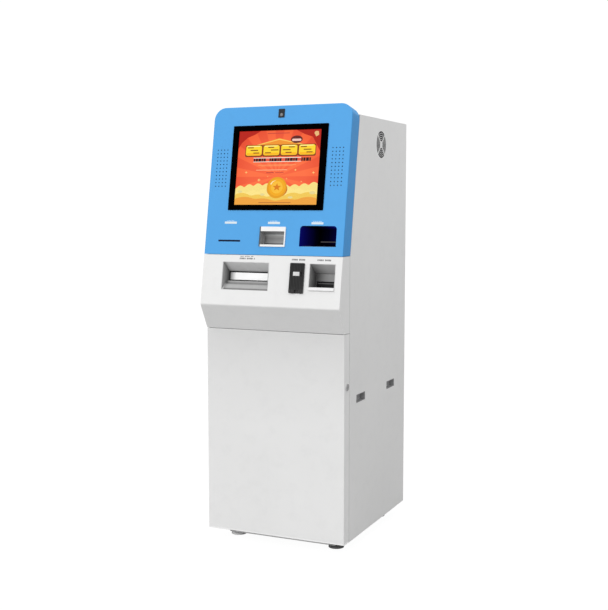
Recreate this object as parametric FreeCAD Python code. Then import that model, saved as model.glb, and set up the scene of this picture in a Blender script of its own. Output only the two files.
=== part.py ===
import FreeCAD, Part
import math
import os

# Free-standing cash and currency-exchange kiosk, millimetres, +Z up.
# Everything is built with y = 0 on the lower door's front face and z = 0 on the floor;
# save() then moves the origin to the centre of the footprint.

# ---- overall sizes ----
HALF_W = 287.0            # half the cabinet's width
BACK_Y = 676.0            # back face, behind the lower door's front face
FRONT_NOSE_Y = -52.2      # front edge of the console shelf
BASE_Z = 44.0             # underside of the cabinet, the feet lift it this far
ROOF_Z = 1644.0           # top of the cabinet
CENTRE_Y = (BACK_Y + FRONT_NOSE_Y) / 2
SKIN = 1.5                # sheet steel
SEAM = 2.5                # shadow gap between doors and cabinet

# ---- lower door and console ----
DOOR_DEPTH = 48.0         # side return of the lower door and the console
DOOR_BOTTOM = 45.0
DOOR_TOP = 836.5
CONSOLE_BOTTOM = 838.5
CONSOLE_TOP = 1122.4
NOSE_Z = 933.0
NOSE_R = 10.0             # bend radius of the console's front edge
SIDE_FRONT_Y = DOOR_DEPTH + SEAM

# ---- sloping fascia: local x, d (depth inwards), s (up the slope) ----
TILT = 9.9                # degrees from vertical
FASCIA_Y = -19.0          # front lower edge of the fascia
FASCIA_Z = 1123.4
FASCIA_DEPTH = 69.0
FASCIA_LENGTH = 567.4
FASCIA_CORNER_R = 48.0
T = math.tan(math.radians(TILT))
C = math.cos(math.radians(TILT))
S = math.sin(math.radians(TILT))

# ---- hinges and latches ----
HINGE_INSET = 8.0         # pin axis behind the outer skin and in front of the door's back
HINGE_X = -HALF_W + HINGE_INSET
PIN_R = 3.0
RUNNING = 0.05            # radial clearance of pins, shafts and plugs
POST_FRONT = 24.0         # cabinet posts start this far behind a door's back face
LATCH_INSET = 22.0        # latch axis in front of a door's back face
LATCH_REACH = 34.0        # latch axis to striker axis
LOCK_Z = 639.0

# ---- display ----
SCREEN_X0, SCREEN_X1 = -173.0, 168.0
SCREEN_S0, SCREEN_S1 = 190.0, 472.5
BEZEL_X0, BEZEL_X1 = -198.0, 196.0
BEZEL_S0, BEZEL_S1 = 169.5, 493.5

# ---- cash mouth in the console face, s counts down from the fascia ----
MOUTH_X0, MOUTH_X1 = -201.0, -8.0
MOUTH_S0, MOUTH_S1 = -132.0, -29.0
CUP_X0, CUP_X1 = 159.0, 261.0

# ---- note cassettes ----
BAY_PITCH = 128.0
BAY_FIRST_Z = 118.0
BAYS = 4

# ---- fan in the right side ----
FAN_Y, FAN_Z = 374.5, 1545.0

V = FreeCAD.Vector
os.makedirs("parts", exist_ok=True)


def box(x0, x1, y0, y1, z0, z1):
    return Part.makeBox(x1 - x0, y1 - y0, z1 - z0, V(x0, y0, z0))


def rod(x, y, z, r, length, axis):
    """Cylinder from a start point along a direction."""
    return Part.makeCylinder(r, length, V(x, y, z), V(*axis))


def rod_x(x0, x1, y, z, r):
    return rod(x0, y, z, r, x1 - x0, (1, 0, 0))


def rod_y(x, y0, y1, z, r):
    return rod(x, y0, z, r, y1 - y0, (0, 1, 0))


def rod_z(x, y, z0, z1, r):
    return rod(x, y, z0, r, z1 - z0, (0, 0, 1))


def side_plate(points, x0, x1):
    """Polygon of (y, z) points made x0..x1 thick."""
    wire = Part.makePolygon([V(x0, y, z) for y, z in points + points[:1]])
    return Part.Face(wire).extrude(V(x1 - x0, 0, 0))


def plan_plate(points, z0, z1):
    """Polygon of (x, y) points made z0..z1 thick."""
    wire = Part.makePolygon([V(x, y, z0) for x, y in points + points[:1]])
    return Part.Face(wire).extrude(V(0, 0, z1 - z0))


def fuse(shapes):
    first = shapes[0]
    joined = first.fuse(shapes[1:]) if len(shapes) > 1 else first
    return joined.removeSplitter()


def cut(shape, tools):
    return shape.cut(tools)


def mirrored(shape):
    """Copy on the other side of the centre plane."""
    return shape.mirror(V(0, 0, 0), V(1, 0, 0))


def round_edges(shape, r, wanted):
    """Fillet the straight edges that the test picks by their two end points."""
    edges = []
    for edge in shape.Edges:
        if len(edge.Vertexes) == 2 and wanted(edge.Vertexes[0].Point, edge.Vertexes[1].Point):
            edges.append(edge)
    return shape.makeFillet(r, edges)


def along_y(a, b):
    return abs(a.x - b.x) < 1e-6 and abs(a.z - b.z) < 1e-6 and abs(a.y - b.y) > 1e-6


def along_x(a, b):
    return abs(a.z - b.z) < 1e-6 and abs(a.y - b.y) < 1e-6


def rounded_box(x0, x1, y0, y1, z0, z1, r):
    """Box whose four edges along y are rounded."""
    return round_edges(box(x0, x1, y0, y1, z0, z1), r, along_y)


def tilt(shape):
    """Place a shape built in the fascia's local x, d, s."""
    placed = shape.copy()
    placed.rotate(V(0, 0, 0), V(1, 0, 0), -TILT)
    placed.translate(V(0, FASCIA_Y, FASCIA_Z))
    return placed


def on_slope(d, s):
    """Cabinet y and z of a fascia point at depth d and slope distance s."""
    return FASCIA_Y + d * C + s * S, FASCIA_Z - d * S + s * C


def save(node, shape):
    shape = shape.copy()
    shape.translate(V(0, -CENTRE_Y, 0))
    if not shape.isValid():
        raise RuntimeError(node + " is not a valid shape")
    solids = shape.Solids
    if len(solids) == 1:
        shape = solids[0]
    shape.exportStep("parts/" + node + ".step")
    print(node, len(solids), round(sum(s.Volume for s in solids) / 1000, 1), "cm3")


def offset_inwards(points, t):
    """Move each side of a convex anticlockwise (y, z) polygon inwards by t."""
    moved = []
    count = len(points)
    for i in range(count):
        (ay, az), (by, bz) = points[i], points[(i + 1) % count]
        run, rise = by - ay, bz - az
        length = math.hypot(run, rise)
        ny, nz = -rise / length, run / length
        moved.append((ay + ny * t, az + nz * t, run, rise))
    corners = []
    for i in range(count):
        py, pz, pr, ps = moved[i - 1]
        qy, qz, qr, qs = moved[i]
        k = ((qy - py) * qs - (qz - pz) * qr) / (pr * qs - ps * qr)
        corners.append((py + pr * k, pz + ps * k))
    return corners


def slope_y(z, d):
    """y of the plane at depth d behind the fascia's front, at height z."""
    return FASCIA_Y + d / C + (z - FASCIA_Z) * T


# =====================================================================
# hinge and latch pieces, shared by the lower door and the fascia
# =====================================================================

def hinge_ear(back, s0):
    """Plate inside a door's hinge corner with the bore for the pin, 6 thick."""
    d = back - HINGE_INSET
    plate = box(-HALF_W + SKIN, HINGE_X + 8, d - 8, d + 5, s0, s0 + 6)
    return cut(plate, rod_z(HINGE_X, d, s0 - 1, s0 + 7, PIN_R + RUNNING))


def hinge_bracket(back, s0):
    """Goose-neck plate that carries a pin from the cabinet's post, 3 thick."""
    d = back - HINGE_INSET
    post = back + POST_FRONT
    x = HINGE_X
    head = rod_z(x, d, s0, s0 + 3, 5.0)
    neck = box(x, x + 24, d - 5, d + 5, s0, s0 + 3)
    leg = box(x + 14, x + 24, d - 5, post, s0, s0 + 3)
    foot = box(x + 4, x + 24, post - 3, post, s0 - 14, s0 + 17)
    return fuse([head, neck, leg, foot])


def hinge_pin(back, s0, s1):
    return rod_z(HINGE_X, back - HINGE_INSET, s0, s1, PIN_R)


def latch_hook(back, s, x0, x1, hub_r):
    """Hook that turns about x and closes round the striker; drawn turned clear of it."""
    d = back - LATCH_INSET
    inner = LATCH_REACH + 4.6
    outer = inner + 5.0
    ring = rod_x(x0, x1, d, s, outer).cut(rod_x(x0 - 1, x1 + 1, d, s, inner))
    reach = (outer + 5) * 1.3
    fan = [(d, s)]
    for angle in (68, 95, 122):
        a = math.radians(angle)
        fan.append((d + reach * math.cos(a), s + reach * math.sin(a)))
    band = ring.common(side_plate(fan, x0 - 1, x1 + 1))
    arm = box(x0, x1, d - 4.5, d + 4.5, s, s + outer - 1)
    arm.rotate(V(0, d, s), V(1, 0, 0), 116 - 90)
    return fuse([rod_x(x0, x1, d, s, hub_r), arm, band])


def striker(back, s):
    """Angle bracket with the round striker that a hook closes on, on the right post."""
    d = back - LATCH_INSET + LATCH_REACH
    post = back + POST_FRONT
    foot = box(262, 285.5, post - 2, post, s - 20, s + 20)
    cheek = box(283.5, 285.5, back + 5, post, s - 20, s + 20)
    return fuse([foot, cheek, rod_x(256, 285, d, s, 4)])


# =====================================================================
# cabinet sheets
# =====================================================================

def side_outline():
    return [
        (SIDE_FRONT_Y, BASE_Z),
        (BACK_Y, BASE_Z),
        (BACK_Y, ROOF_Z),
        (slope_y(ROOF_Z, FASCIA_DEPTH + SEAM), ROOF_Z),
        (slope_y(CONSOLE_TOP, FASCIA_DEPTH + SEAM), CONSOLE_TOP),
        (SIDE_FRONT_Y, CONSOLE_TOP),
    ]


HOLD_Z = 579.5
HOLD_CENTRES = (166.0, 500.0)
HOLD_HALF_LONG, HOLD_HALF_HIGH = 46.0, 16.0
HOLD_DEPTH = 20.0


def side_panel():
    """Right-hand side sheet with folded front and back edges and two hand holds."""
    inner = HALF_W - SKIN
    sheet = side_plate(side_outline(), inner, HALF_W)
    front = box(inner - 15, inner, SIDE_FRONT_Y, SIDE_FRONT_Y + SKIN, BASE_Z + 4, 1090)
    slanted = tilt(box(inner - 15, inner, FASCIA_DEPTH + SEAM, FASCIA_DEPTH + SEAM + SKIN, 20, 530))
    back = box(inner - 20, inner, 673, 674.5, BASE_Z + 4, ROOF_Z - 6)
    panel = fuse([sheet, front, slanted, back])
    holes = []
    for y in HOLD_CENTRES:
        holes.append(
            box(inner - 2, HALF_W + 1, y - HOLD_HALF_LONG, y + HOLD_HALF_LONG,
                HOLD_Z - HOLD_HALF_HIGH, HOLD_Z + HOLD_HALF_HIGH)
        )
    return cut(panel, holes)


def vent_slots():
    """Five rings of curved slots, parted by two diagonal ribs."""
    slots = []
    ribs = []
    for angle in (45, 135):
        rib = box(HALF_W - 6, HALF_W + 3, FAN_Y - 60, FAN_Y + 60, FAN_Z - 3, FAN_Z + 3)
        rib.rotate(V(0, FAN_Y, FAN_Z), V(1, 0, 0), angle)
        ribs.append(rib)
    for ring in range(5):
        r = 14.0 + 8.0 * ring
        disc = rod_x(HALF_W - 4, HALF_W + 2, FAN_Y, FAN_Z, r + 5.7)
        slots.append(disc.cut(rod_x(HALF_W - 5, HALF_W + 3, FAN_Y, FAN_Z, r)).cut(ribs))
    return slots


right = cut(side_panel(), vent_slots())
left = mirrored(side_panel())
save("right_side_panel", right)
save("left_side_panel", left)

roof_front = slope_y(ROOF_Z, FASCIA_DEPTH + SEAM) + 0.5
inner_w = HALF_W - SKIN
roof = box(-inner_w, inner_w, roof_front, BACK_Y - SKIN, ROOF_Z - SKIN, ROOF_Z)
roof_edges = [
    box(inner_w - SKIN, inner_w, roof_front + 60, 672, ROOF_Z - 20, ROOF_Z),
    box(-inner_w, -inner_w + SKIN, roof_front + 60, 672, ROOF_Z - 20, ROOF_Z),
    box(-inner_w + 2, inner_w - 2, roof_front, roof_front + SKIN, ROOF_Z - 8, ROOF_Z),
]
save("top_panel", fuse([roof] + roof_edges))

# ---- back panel: screwed on, louvres top and bottom, inlet and cable holes ----
INLET_X, INLET_Z = -200.0, 130.0
SWITCH_X = -150.0
back_panel = box(-inner_w + 0.5, inner_w - 0.5, 674.5, BACK_Y, BASE_Z + 2, ROOF_Z - 0.5)
louvres = []
for row in range(9):
    for z0 in (220.0, 1380.0):
        for x0 in (-190.0, -90.0, 10.0, 110.0):
            z = z0 + row * 20.0
            louvres.append(rounded_box(x0, x0 + 80, 673, 678, z, z + 6, 2.9))
back_holes = [
    box(INLET_X - 14, INLET_X + 14, 670, 680, INLET_Z - 12, INLET_Z + 12),
    box(SWITCH_X - 14, SWITCH_X + 14, 670, 680, INLET_Z - 11, INLET_Z + 11),
]
screw_spots = [(x, z) for x in (-275.0, 275.0) for z in (90.0, 480.0, 870.0, 1260.0, 1610.0)]
for x, z in screw_spots:
    back_holes.append(rod_y(x, 672, 678, z, 2.2))
save("back_panel", cut(back_panel, louvres + back_holes))

screws = []
for x, z in screw_spots:
    head = rod_y(x, BACK_Y, BACK_Y + 2, z, 4.5)
    hex_socket = Part.Face(Part.makePolygon([
        V(x + 2 * math.cos(math.radians(a)), BACK_Y + 0.8, z + 2 * math.sin(math.radians(a)))
        for a in range(0, 361, 60)
    ])).extrude(V(0, 2, 0))
    screws.append(fuse([head.cut(hex_socket), rod_y(x, BACK_Y - SKIN, BACK_Y + 0.5, z, 2.0)]))
save("back_panel_screws", Part.makeCompound(screws))

# ---- floor tray with four anchor holes and a cable hole ----
ANCHOR_X, ANCHOR_Y0, ANCHOR_Y1, ANCHOR_R = 170.0, 150.0, 560.0, 7.0
tray = box(-inner_w, inner_w, SIDE_FRONT_Y, BACK_Y - SKIN, BASE_Z, BASE_Z + 2)
tray_walls = [
    box(-inner_w + 16, inner_w - 16, SIDE_FRONT_Y, SIDE_FRONT_Y + 2, BASE_Z, BASE_Z + 16),
    box(-inner_w + 22, inner_w - 22, 671, 673, BASE_Z, BASE_Z + 30),
]
tray_holes = [rod_z(x, y, 40, 50, ANCHOR_R) for x in (-ANCHOR_X, ANCHOR_X) for y in (ANCHOR_Y0, ANCHOR_Y1)]
tray_holes.append(rod_z(0, 550, 40, 50, 25))
save("base_tray", cut(fuse([tray] + tray_walls), tray_holes))

# ---- recessed base frame of welded tube, and the levelling feet ----
FOOT_X = 211.0
FOOT_YS = (110.0, 565.0)
FOOT_R = 30.0


def tube(x0, x1, y0, y1, z0, z1, wall, along):
    """Hollow bar; along names the axis it runs along."""
    grow = {"x": (1, 0, 0), "y": (0, 1, 0), "z": (0, 0, 1)}[along]
    a, b, c = (-wall if g == 0 else 1 for g in grow)
    core = box(x0 - a, x1 + a, y0 - b, y1 + b, z0 - c, z1 + c)
    return box(x0, x1, y0, y1, z0, z1).cut(core)


rails = [
    tube(FOOT_X - 14, FOOT_X + 14, 60, 620, 20, BASE_Z, 2, "y"),
    tube(-FOOT_X - 14, -FOOT_X + 14, 60, 620, 20, BASE_Z, 2, "y"),
    tube(-FOOT_X + 14, FOOT_X - 14, 60, 88, 20, BASE_Z, 2, "x"),
    tube(-FOOT_X + 14, FOOT_X - 14, 592, 620, 20, BASE_Z, 2, "x"),
]
stud_holes = [rod_z(x, y, 15, 43, 6.1) for x in (-FOOT_X, FOOT_X) for y in FOOT_YS]
save("base_frame", cut(fuse(rails), stud_holes))

pads, studs = [], []
for x in (-FOOT_X, FOOT_X):
    for y in FOOT_YS:
        disc = rod_z(x, y, 0, 7, FOOT_R)
        cone = Part.makeCone(FOOT_R, 14, 6, V(x, y, 7), V(0, 0, 1))
        pads.append(fuse([disc, cone]).cut(rod_z(x, y, 5, 20, 5.6)))
        nut = Part.Face(Part.makePolygon([
            V(x + 10 * math.cos(math.radians(a)), y + 10 * math.sin(math.radians(a)), 14.5)
            for a in range(0, 361, 60)
        ])).extrude(V(0, 0, 5.5))
        stem = fuse([rod_z(x, y, 5, 13, 5.5), rod_z(x, y, 13, 41, 6.0)])
        studs.append(fuse([stem, nut]))
save("foot_pads", Part.makeCompound(pads))
save("foot_studs", Part.makeCompound(studs))

# ---- welded inner frame: posts behind the doors, slanted jambs, cross rails ----
POST_W = 30.0
post_y = DOOR_DEPTH + POST_FRONT
jamb_d = FASCIA_DEPTH + POST_FRONT
right_post = tube(inner_w - POST_W, inner_w, post_y, post_y + 25, BASE_Z + 2, 1098, 2, "z")
left_post = mirrored(right_post)
right_jamb = tilt(tube(inner_w - POST_W, inner_w, jamb_d, jamb_d + 25, 12, 532, 2, "z"))
left_jamb = mirrored(right_jamb)
reach = inner_w - POST_W
mid_rail = tube(-reach, reach, post_y, post_y + 25, 840, 865, 2, "x")
console_rail = tube(-inner_w, inner_w, post_y, post_y + 25, 1098, 1120.9, 2, "x")
head_rail = tilt(tube(-reach, reach, jamb_d, jamb_d + 25, 507, 532, 2, "x"))
save("front_frame", fuse([right_post, left_post, right_jamb, left_jamb, mid_rail, console_rail, head_rail]))

# ---- shelf for the computer ----
SHELF_Z = 1140.0
shelf = box(-inner_w, inner_w, 330, 672, SHELF_Z - 2, SHELF_Z)
shelf_lips = [
    box(-inner_w, inner_w, 330, 332, SHELF_Z - 20, SHELF_Z),
    box(-inner_w, -inner_w + 2, 330, 672, SHELF_Z - 20, SHELF_Z),
    box(inner_w - 2, inner_w, 330, 672, SHELF_Z - 20, SHELF_Z),
]
shelf_holes = [
    rounded_box(x, x + 50, 325, 335, SHELF_Z - 16, SHELF_Z - 8, 3.9) for x in (-240.0, -120.0, 70.0, 190.0)
]
save("equipment_shelf", cut(fuse([shelf] + shelf_lips), shelf_holes + [rod_z(200, 600, 1130, 1150, 25)]))

# ---- hinge brackets and pins on the cabinet ----
LOW_EAR, HIGH_EAR = 74.0, 806.0
SLOPE_LOW_EAR, SLOPE_HIGH_EAR = 40.0, 492.0


def pivot_below(back, ear_s):
    """Bracket under an ear with its pin standing up through it."""
    return fuse([hinge_bracket(back, ear_s - 3.3), hinge_pin(back, ear_s - 1, ear_s + 12)])


def pivot_above(back, ear_s):
    """Bracket over an ear with its pin hanging down through it."""
    return fuse([hinge_bracket(back, ear_s + 6.3), hinge_pin(back, ear_s - 6, ear_s + 7)])


save("hinge_brackets", Part.makeCompound([
    pivot_below(DOOR_DEPTH, LOW_EAR),
    pivot_above(DOOR_DEPTH, HIGH_EAR),
    tilt(pivot_below(FASCIA_DEPTH, SLOPE_LOW_EAR)),
    tilt(pivot_above(FASCIA_DEPTH, SLOPE_HIGH_EAR)),
]))

LATCH_S = 450.0
save("lock_strikers", Part.makeCompound([
    striker(DOOR_DEPTH, LOCK_Z),
    tilt(striker(FASCIA_DEPTH, LATCH_S)),
]))

# ---- hand-hold cups set into both sides ----
cups = []
for y in HOLD_CENTRES:
    long, high = HOLD_HALF_LONG - 0.3, HOLD_HALF_HIGH - 0.3
    shell = fuse([
        box(HALF_W - HOLD_DEPTH - 2, HALF_W - 0.5, y - long, y + long, HOLD_Z - high, HOLD_Z + high),
        box(HALF_W - 3.5, inner_w, y - long - 5, y + long + 5, HOLD_Z - high - 5, HOLD_Z + high + 5),
    ])
    long, high = long - 2, high - 2
    hollow = box(HALF_W - HOLD_DEPTH, HALF_W + 1, y - long, y + long, HOLD_Z - high, HOLD_Z + high)
    cup = shell.cut(hollow)
    cups += [cup, mirrored(cup)]
save("hand_hold_cups", Part.makeCompound(cups))

# =====================================================================
# console: the shelf-like housing between the lower door and the fascia
# =====================================================================
console_profile = [
    (0.0, CONSOLE_BOTTOM),
    (DOOR_DEPTH, CONSOLE_BOTTOM),
    (DOOR_DEPTH, CONSOLE_TOP),
    (slope_y(CONSOLE_TOP, 0), CONSOLE_TOP),
    (slope_y(NOSE_Z, 0), NOSE_Z),
]
outer = side_plate(console_profile, -HALF_W, HALF_W)


def at_nose(a, b):
    return along_x(a, b) and abs(a.z - NOSE_Z) < 0.1


outer = round_edges(outer, NOSE_R, at_nose)
hollow_profile = [(y + (20 if y > 40 else 0), z) for y, z in offset_inwards(console_profile, SKIN)]
hollow = round_edges(
    side_plate(hollow_profile, -inner_w, inner_w), NOSE_R - SKIN,
    lambda a, b: along_x(a, b) and a.z < NOSE_Z + 5 and a.z > NOSE_Z - 5)
console = outer.cut(hollow)
flanges = [
    box(-250, 250, DOOR_DEPTH - 2, 95, CONSOLE_BOTTOM, CONSOLE_BOTTOM + SKIN),
    box(-250, 250, DOOR_DEPTH - 2, 95, CONSOLE_TOP - SKIN, CONSOLE_TOP),
]
console = fuse([console] + flanges)
face_openings = [
    box(MOUTH_X0 - 1.3, MOUTH_X1 + 1.3, -5, 5, MOUTH_S0 - 1.3, MOUTH_S1 + 1.3),
    box(86, 135, -5, 5, -134, -32),
    box(CUP_X0 - 1.3, CUP_X1 + 1.3, -5, 5, -117.5, -27.7),
]
chute_notch = box(88, 132, 50, 73, CONSOLE_BOTTOM - 1, CONSOLE_BOTTOM + 3)
save("console_shell", cut(console, [tilt(c) for c in face_openings] + [chute_notch]))

# ---- cash mouth: a funnel with a stepped floor and the shutter's guides ----
mouth_profile = [
    (0.0, MOUTH_S0 + 2), (16.0, -108.0), (28.0, -108.0), (28.0, -97.0),
    (40.0, -97.0), (40.0, -60.0), (0.0, MOUTH_S1 - 0.0),
]
mouth_outside = [
    (0.0, MOUTH_S0 - 1), (19.0, -110.5), (30.5, -110.5), (30.5, -99.5),
    (42.0, -99.5), (42.0, -57.5), (12.0, MOUTH_S1 - 2.5), (0.0, MOUTH_S1 + 1),
]
taper_in = [(MOUTH_X0 + 1, -2), (MOUTH_X1 - 1, -2), (MOUTH_X1 - 9, 44), (MOUTH_X0 + 9, 44)]
taper_out = [(MOUTH_X0 - 1, -2), (MOUTH_X1 + 1, -2), (MOUTH_X1 - 6.5, 46), (MOUTH_X0 + 6.5, 46)]
pocket = side_plate(
    [(-3.0, MOUTH_S0 - 1.5)] + mouth_profile + [(-3.0, MOUTH_S1)], MOUTH_X0 - 5, MOUTH_X1 + 5)
pocket = pocket.common(plan_plate(taper_in, -160, 0))
mouth = side_plate(mouth_outside, MOUTH_X0 - 5, MOUTH_X1 + 5).common(plan_plate(taper_out, -160, 0))
mouth = mouth.cut(pocket)
GUIDE_IN, GUIDE_OUT = 4.0, 3.0
guides = []
for x in (MOUTH_X0 + 8, MOUTH_X1 - 8):
    toward = 1 if x < -100 else -1
    x_in = x + toward * GUIDE_IN
    low_x, high_x = sorted((x - toward * GUIDE_OUT, x_in))
    guide = box(low_x, high_x, 41.9, 48, -97, -33)
    groove_low, groove_high = sorted((x, x + toward * 6))
    guides.append(guide.cut(box(groove_low, groove_high, 42.6, 45.4, -91.5, -30)))
mouth = fuse([mouth] + guides).cut(box(MOUTH_X0 + 12.5, MOUTH_X1 - 12.5, 39, 50, -94, -60))
save("cash_mouth", tilt(mouth))

SHUTTER_X0, SHUTTER_X1 = MOUTH_X0 + 8.6, MOUTH_X1 - 8.6
shutter = fuse([
    box(SHUTTER_X0, SHUTTER_X1, 43, 45, -91.2, -63.5),
    box(SHUTTER_X0 + 8, SHUTTER_X1 - 8, 45, 50, -66, -63.5),
])
save("cash_shutter", tilt(shutter))

# ---- coin acceptor: ribbed face, return button, slot and return notch ----
PLATE_X0, PLATE_X1 = 82.0, 139.0
PLATE_S0, PLATE_S1 = -139.0, -27.0
face = rounded_box(PLATE_X0, PLATE_X1, -7, -0.2, PLATE_S0, PLATE_S1, 3)
face = round_edges(face, 1.2, lambda a, b: abs(a.y + 7) < 1e-6 and abs(b.y + 7) < 1e-6)
neck = box(87, 134, -0.5, 3, -133, -33)
BUTTON = (97.5, 123.0, -75.0, -60.0)
grooves = [box(x, x + 1.2, -8, -6.2, -124, -30) for x in (86.0, 89.6, 93.2, 127.6, 131.2, 134.8)]
grooves += [box(x, x + 1.2, -8, -6.2, z0, z1)
            for x in (97.4, 101.6, 105.8, 110.0, 114.2, 118.4, 122.6)
            for z0, z1 in ((-124, -80), (-55, -30))]
face_cuts = [
    box(BUTTON[0] - 0.4, BUTTON[1] + 0.4, -8, -2, BUTTON[2] - 0.4, BUTTON[3] + 0.4),
    box(125.0, 134.5, -8, -5, -78, -58),
    box(128.4, 131.0, -6, 4, -77, -59),
    box(106, 124, -8, -2, -140, -126),
]
save("coin_face", tilt(cut(fuse([face, neck]), grooves + face_cuts)))

button = round_edges(box(BUTTON[0], BUTTON[1], -9.5, -5.6, BUTTON[2], BUTTON[3]), 1.0,
                     lambda a, b: abs(a.y + 9.5) < 1e-6 and abs(b.y + 9.5) < 1e-6)
save("coin_return_button", tilt(button))

acceptor = box(88, 133, 3, 62, -132, -34).cut(box(128, 131.4, 2, 50, -78, -58))
save("coin_acceptor", tilt(acceptor))

chute_profile = [
    (0, 1010), (34, 1010), (71.5, 915), (71.5, 702), (318, 262),
    (318, 240), (300, 240), (52, 696), (52, 910), (14, 990),
]
chute_bore = [
    (6, 1012), (30, 1012), (69.5, 914), (69.5, 701), (316, 261),
    (316, 238), (302.5, 238), (54, 697), (54, 911), (18, 990),
]
chute = side_plate(chute_profile, 90, 130).cut(side_plate(chute_bore, 92, 128))
save("coin_chute", chute.cut(tilt(box(80, 140, -10, 62.2, -132.2, -20))))

# ---- coin cup with its lip, and the hanging flap at its back ----
CUP_DEPTH = 60.0
hollow_side = [(-3, -114), (CUP_DEPTH, -112), (CUP_DEPTH, -58), (-3, -27.5)]
cup_hollow = side_plate(hollow_side, CUP_X0 + 1, CUP_X1 - 1)
back_d = CUP_DEPTH + 2
shell_side = [(0, -116.5), (back_d, -114.5), (back_d, -55.5), (4, -27.9), (0, -27.9)]
cup_shell = side_plate(shell_side, CUP_X0 - 1, CUP_X1 + 1)
lip = round_edges(box(CUP_X0 + 2, CUP_X1, -6, 3, -127, -116), 2.0,
                  lambda a, b: along_x(a, b) and abs(a.y + 6) < 1e-6)
lip = lip.cut(box(CUP_X0 - 2, CUP_X1 + 2, -0.2, 5, -130, -117.0))
cup = fuse([cup_shell.cut(cup_hollow), lip])
cup = cup.cut(box(CUP_X0 + 6, CUP_X1 - 6, CUP_DEPTH - 1, CUP_DEPTH + 5, -112.0, -86))
FLAP_PIVOT = on_slope(CUP_DEPTH + 3, -88)
fy, fz = FLAP_PIVOT
FLAP_R = 1.5
ears = [
    box(CUP_X0 - 1, CUP_X0 + 3, fy - 6, fy + 4, fz - 6, fz + 6),
    box(CUP_X1 - 3, CUP_X1 + 1, fy - 6, fy + 4, fz - 6, fz + 6),
]
ears = [e.cut(tilt(box(CUP_X0 - 5, CUP_X1 + 5, 0, CUP_DEPTH + 1, -130, -20))) for e in ears]
cup = fuse([tilt(cup)] + ears).cut(rod_x(CUP_X0 - 5, CUP_X1 + 5, fy, fz, FLAP_R + RUNNING))
save("coin_cup", cup)
flap = fuse([
    rod_x(CUP_X0, CUP_X1, fy, fz, FLAP_R),
    box(CUP_X0 + 8, CUP_X1 - 8, fy - 0.6, fy + 0.6, fz - 18, fz),
])
save("coin_flap", flap)

hopper = box(165, 255, 66, 195, 985, 1085).cut(box(168, 252, 69, 192, 1030, 1090))
hopper = hopper.cut(Part.makeCylinder(40, 60, V(210, 130, 1004), V(0, 0, 1)))
spout = side_plate([(66, 1024), (66, 996), (40, 992), (40, 1016)], 170, 250)
spout = spout.cut(side_plate([(70, 1021), (70, 1000), (38, 996), (38, 1013)], 173, 247))
save("coin_hopper", fuse([hopper, spout]).cut(box(173, 247, 60, 100, 1004, 1020)))

COIN_BOX = (80.0, 250.0, 210.0, 470.0, BASE_Z + 2.3, 226.0)
x0, x1, y0, y1, z0, z1 = COIN_BOX
coin_box = box(*COIN_BOX).cut(box(x0 + 2, x1 - 2, y0 + 2, y1 - 2, z0 + 2, z1 - 2))
coin_box = coin_box.cut(box(x0 + 10, x1 - 10, y0 + 50, y1 - 20, z1 - 5, z1 + 2))
pull = fuse([
    box(130, 138, y0 - 18, y0, 170, 178),
    box(192, 200, y0 - 18, y0, 170, 178),
    box(130, 200, y0 - 22, y0 - 16, 170, 178),
])
save("coin_box", fuse([coin_box, pull]))

# =====================================================================
# note dispenser: chassis, four cassettes, transport and presenter rollers
# =====================================================================
CHASSIS = (-246.0, 46.0, 235.0, 622.0, 108.0, 640.0)
cx0, cx1, cy0, cy1, cz0, cz1 = CHASSIS
chassis = [
    box(cx0, cx0 + 4, cy0, cy1, cz0, cz1),
    box(cx1 - 4, cx1, cy0, cy1, cz0, cz1),
    box(cx0, cx1, cy0, cy1, cz0, cz0 + 4),
    box(cx0, cx1, cy0, cy1, cz1 - 4, cz1),
    box(cx0, cx1, cy1 - 4, cy1, cz0, cz1),
    box(cx0 + 10, cx0 + 40, cy0 + 10, 500, BASE_Z + 2, cz0),
    box(cx1 - 40, cx1 - 10, cy0 + 10, 500, BASE_Z + 2, cz0),
]
for bay in range(BAYS):
    z = BAY_FIRST_Z + bay * BAY_PITCH
    chassis.append(box(cx0, cx1, cy0, cy1, z - 3, z))
note_slot = box(-205, -5, 560, 600, cz1 - 10, cz1 + 1)
save("note_dispenser", cut(fuse(chassis), [note_slot]))

for bay in range(BAYS):
    z = BAY_FIRST_Z + bay * BAY_PITCH + 0.5
    body = box(-238, 38, 238, 560, z, z + 112).cut(box(-234, 34, 242, 556, z + 4, z + 108))
    grip = fuse([
        box(-150, -140, 220, 238, z + 46, z + 62),
        box(-60, -50, 220, 238, z + 46, z + 62),
        box(-150, -50, 214, 222, z + 46, z + 62),
    ])
    latch_tab = box(-20, 10, 235, 238, z + 80, z + 96)
    slot = box(-190, -10, 550, 570, z + 50, z + 54)
    save("cassette_" + str(bay + 1), fuse([body, grip, latch_tab]).cut(slot))

ROLLER_Y, ROLLER_Z, ROLLER_R, SHAFT_R = 52.0, 1042.0, 12.0, 4.0
ROLLER_OFFSET = ROLLER_R + 0.4
HEAD_X0, HEAD_X1 = -206.0, -3.0
tower = box(HEAD_X0, HEAD_X1, 107, 185, 640, 1010)
tower = tower.cut(box(HEAD_X0 + 2, HEAD_X1 - 2, 109, 183, 630, 1020))
head = [
    box(HEAD_X0, HEAD_X0 + 3, 32, 185, 1000, 1085),
    box(HEAD_X1 - 3, HEAD_X1, 32, 185, 1000, 1085),
    box(HEAD_X0, HEAD_X1, 75, 185, 1083, 1085),
    box(HEAD_X0, HEAD_X1, 183, 185, 1005, 1085),
    box(HEAD_X0, HEAD_X1, 75, 108, 1008, 1010),
]
duct = box(HEAD_X0, HEAD_X1, 183, 600, 640, 672)
duct = duct.cut(box(HEAD_X0 + 2, HEAD_X1 - 2, 180, 598, 642, 670))
duct = duct.cut(box(HEAD_X0 + 4, HEAD_X1 - 4, 562, 598, 635, 645))
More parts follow.
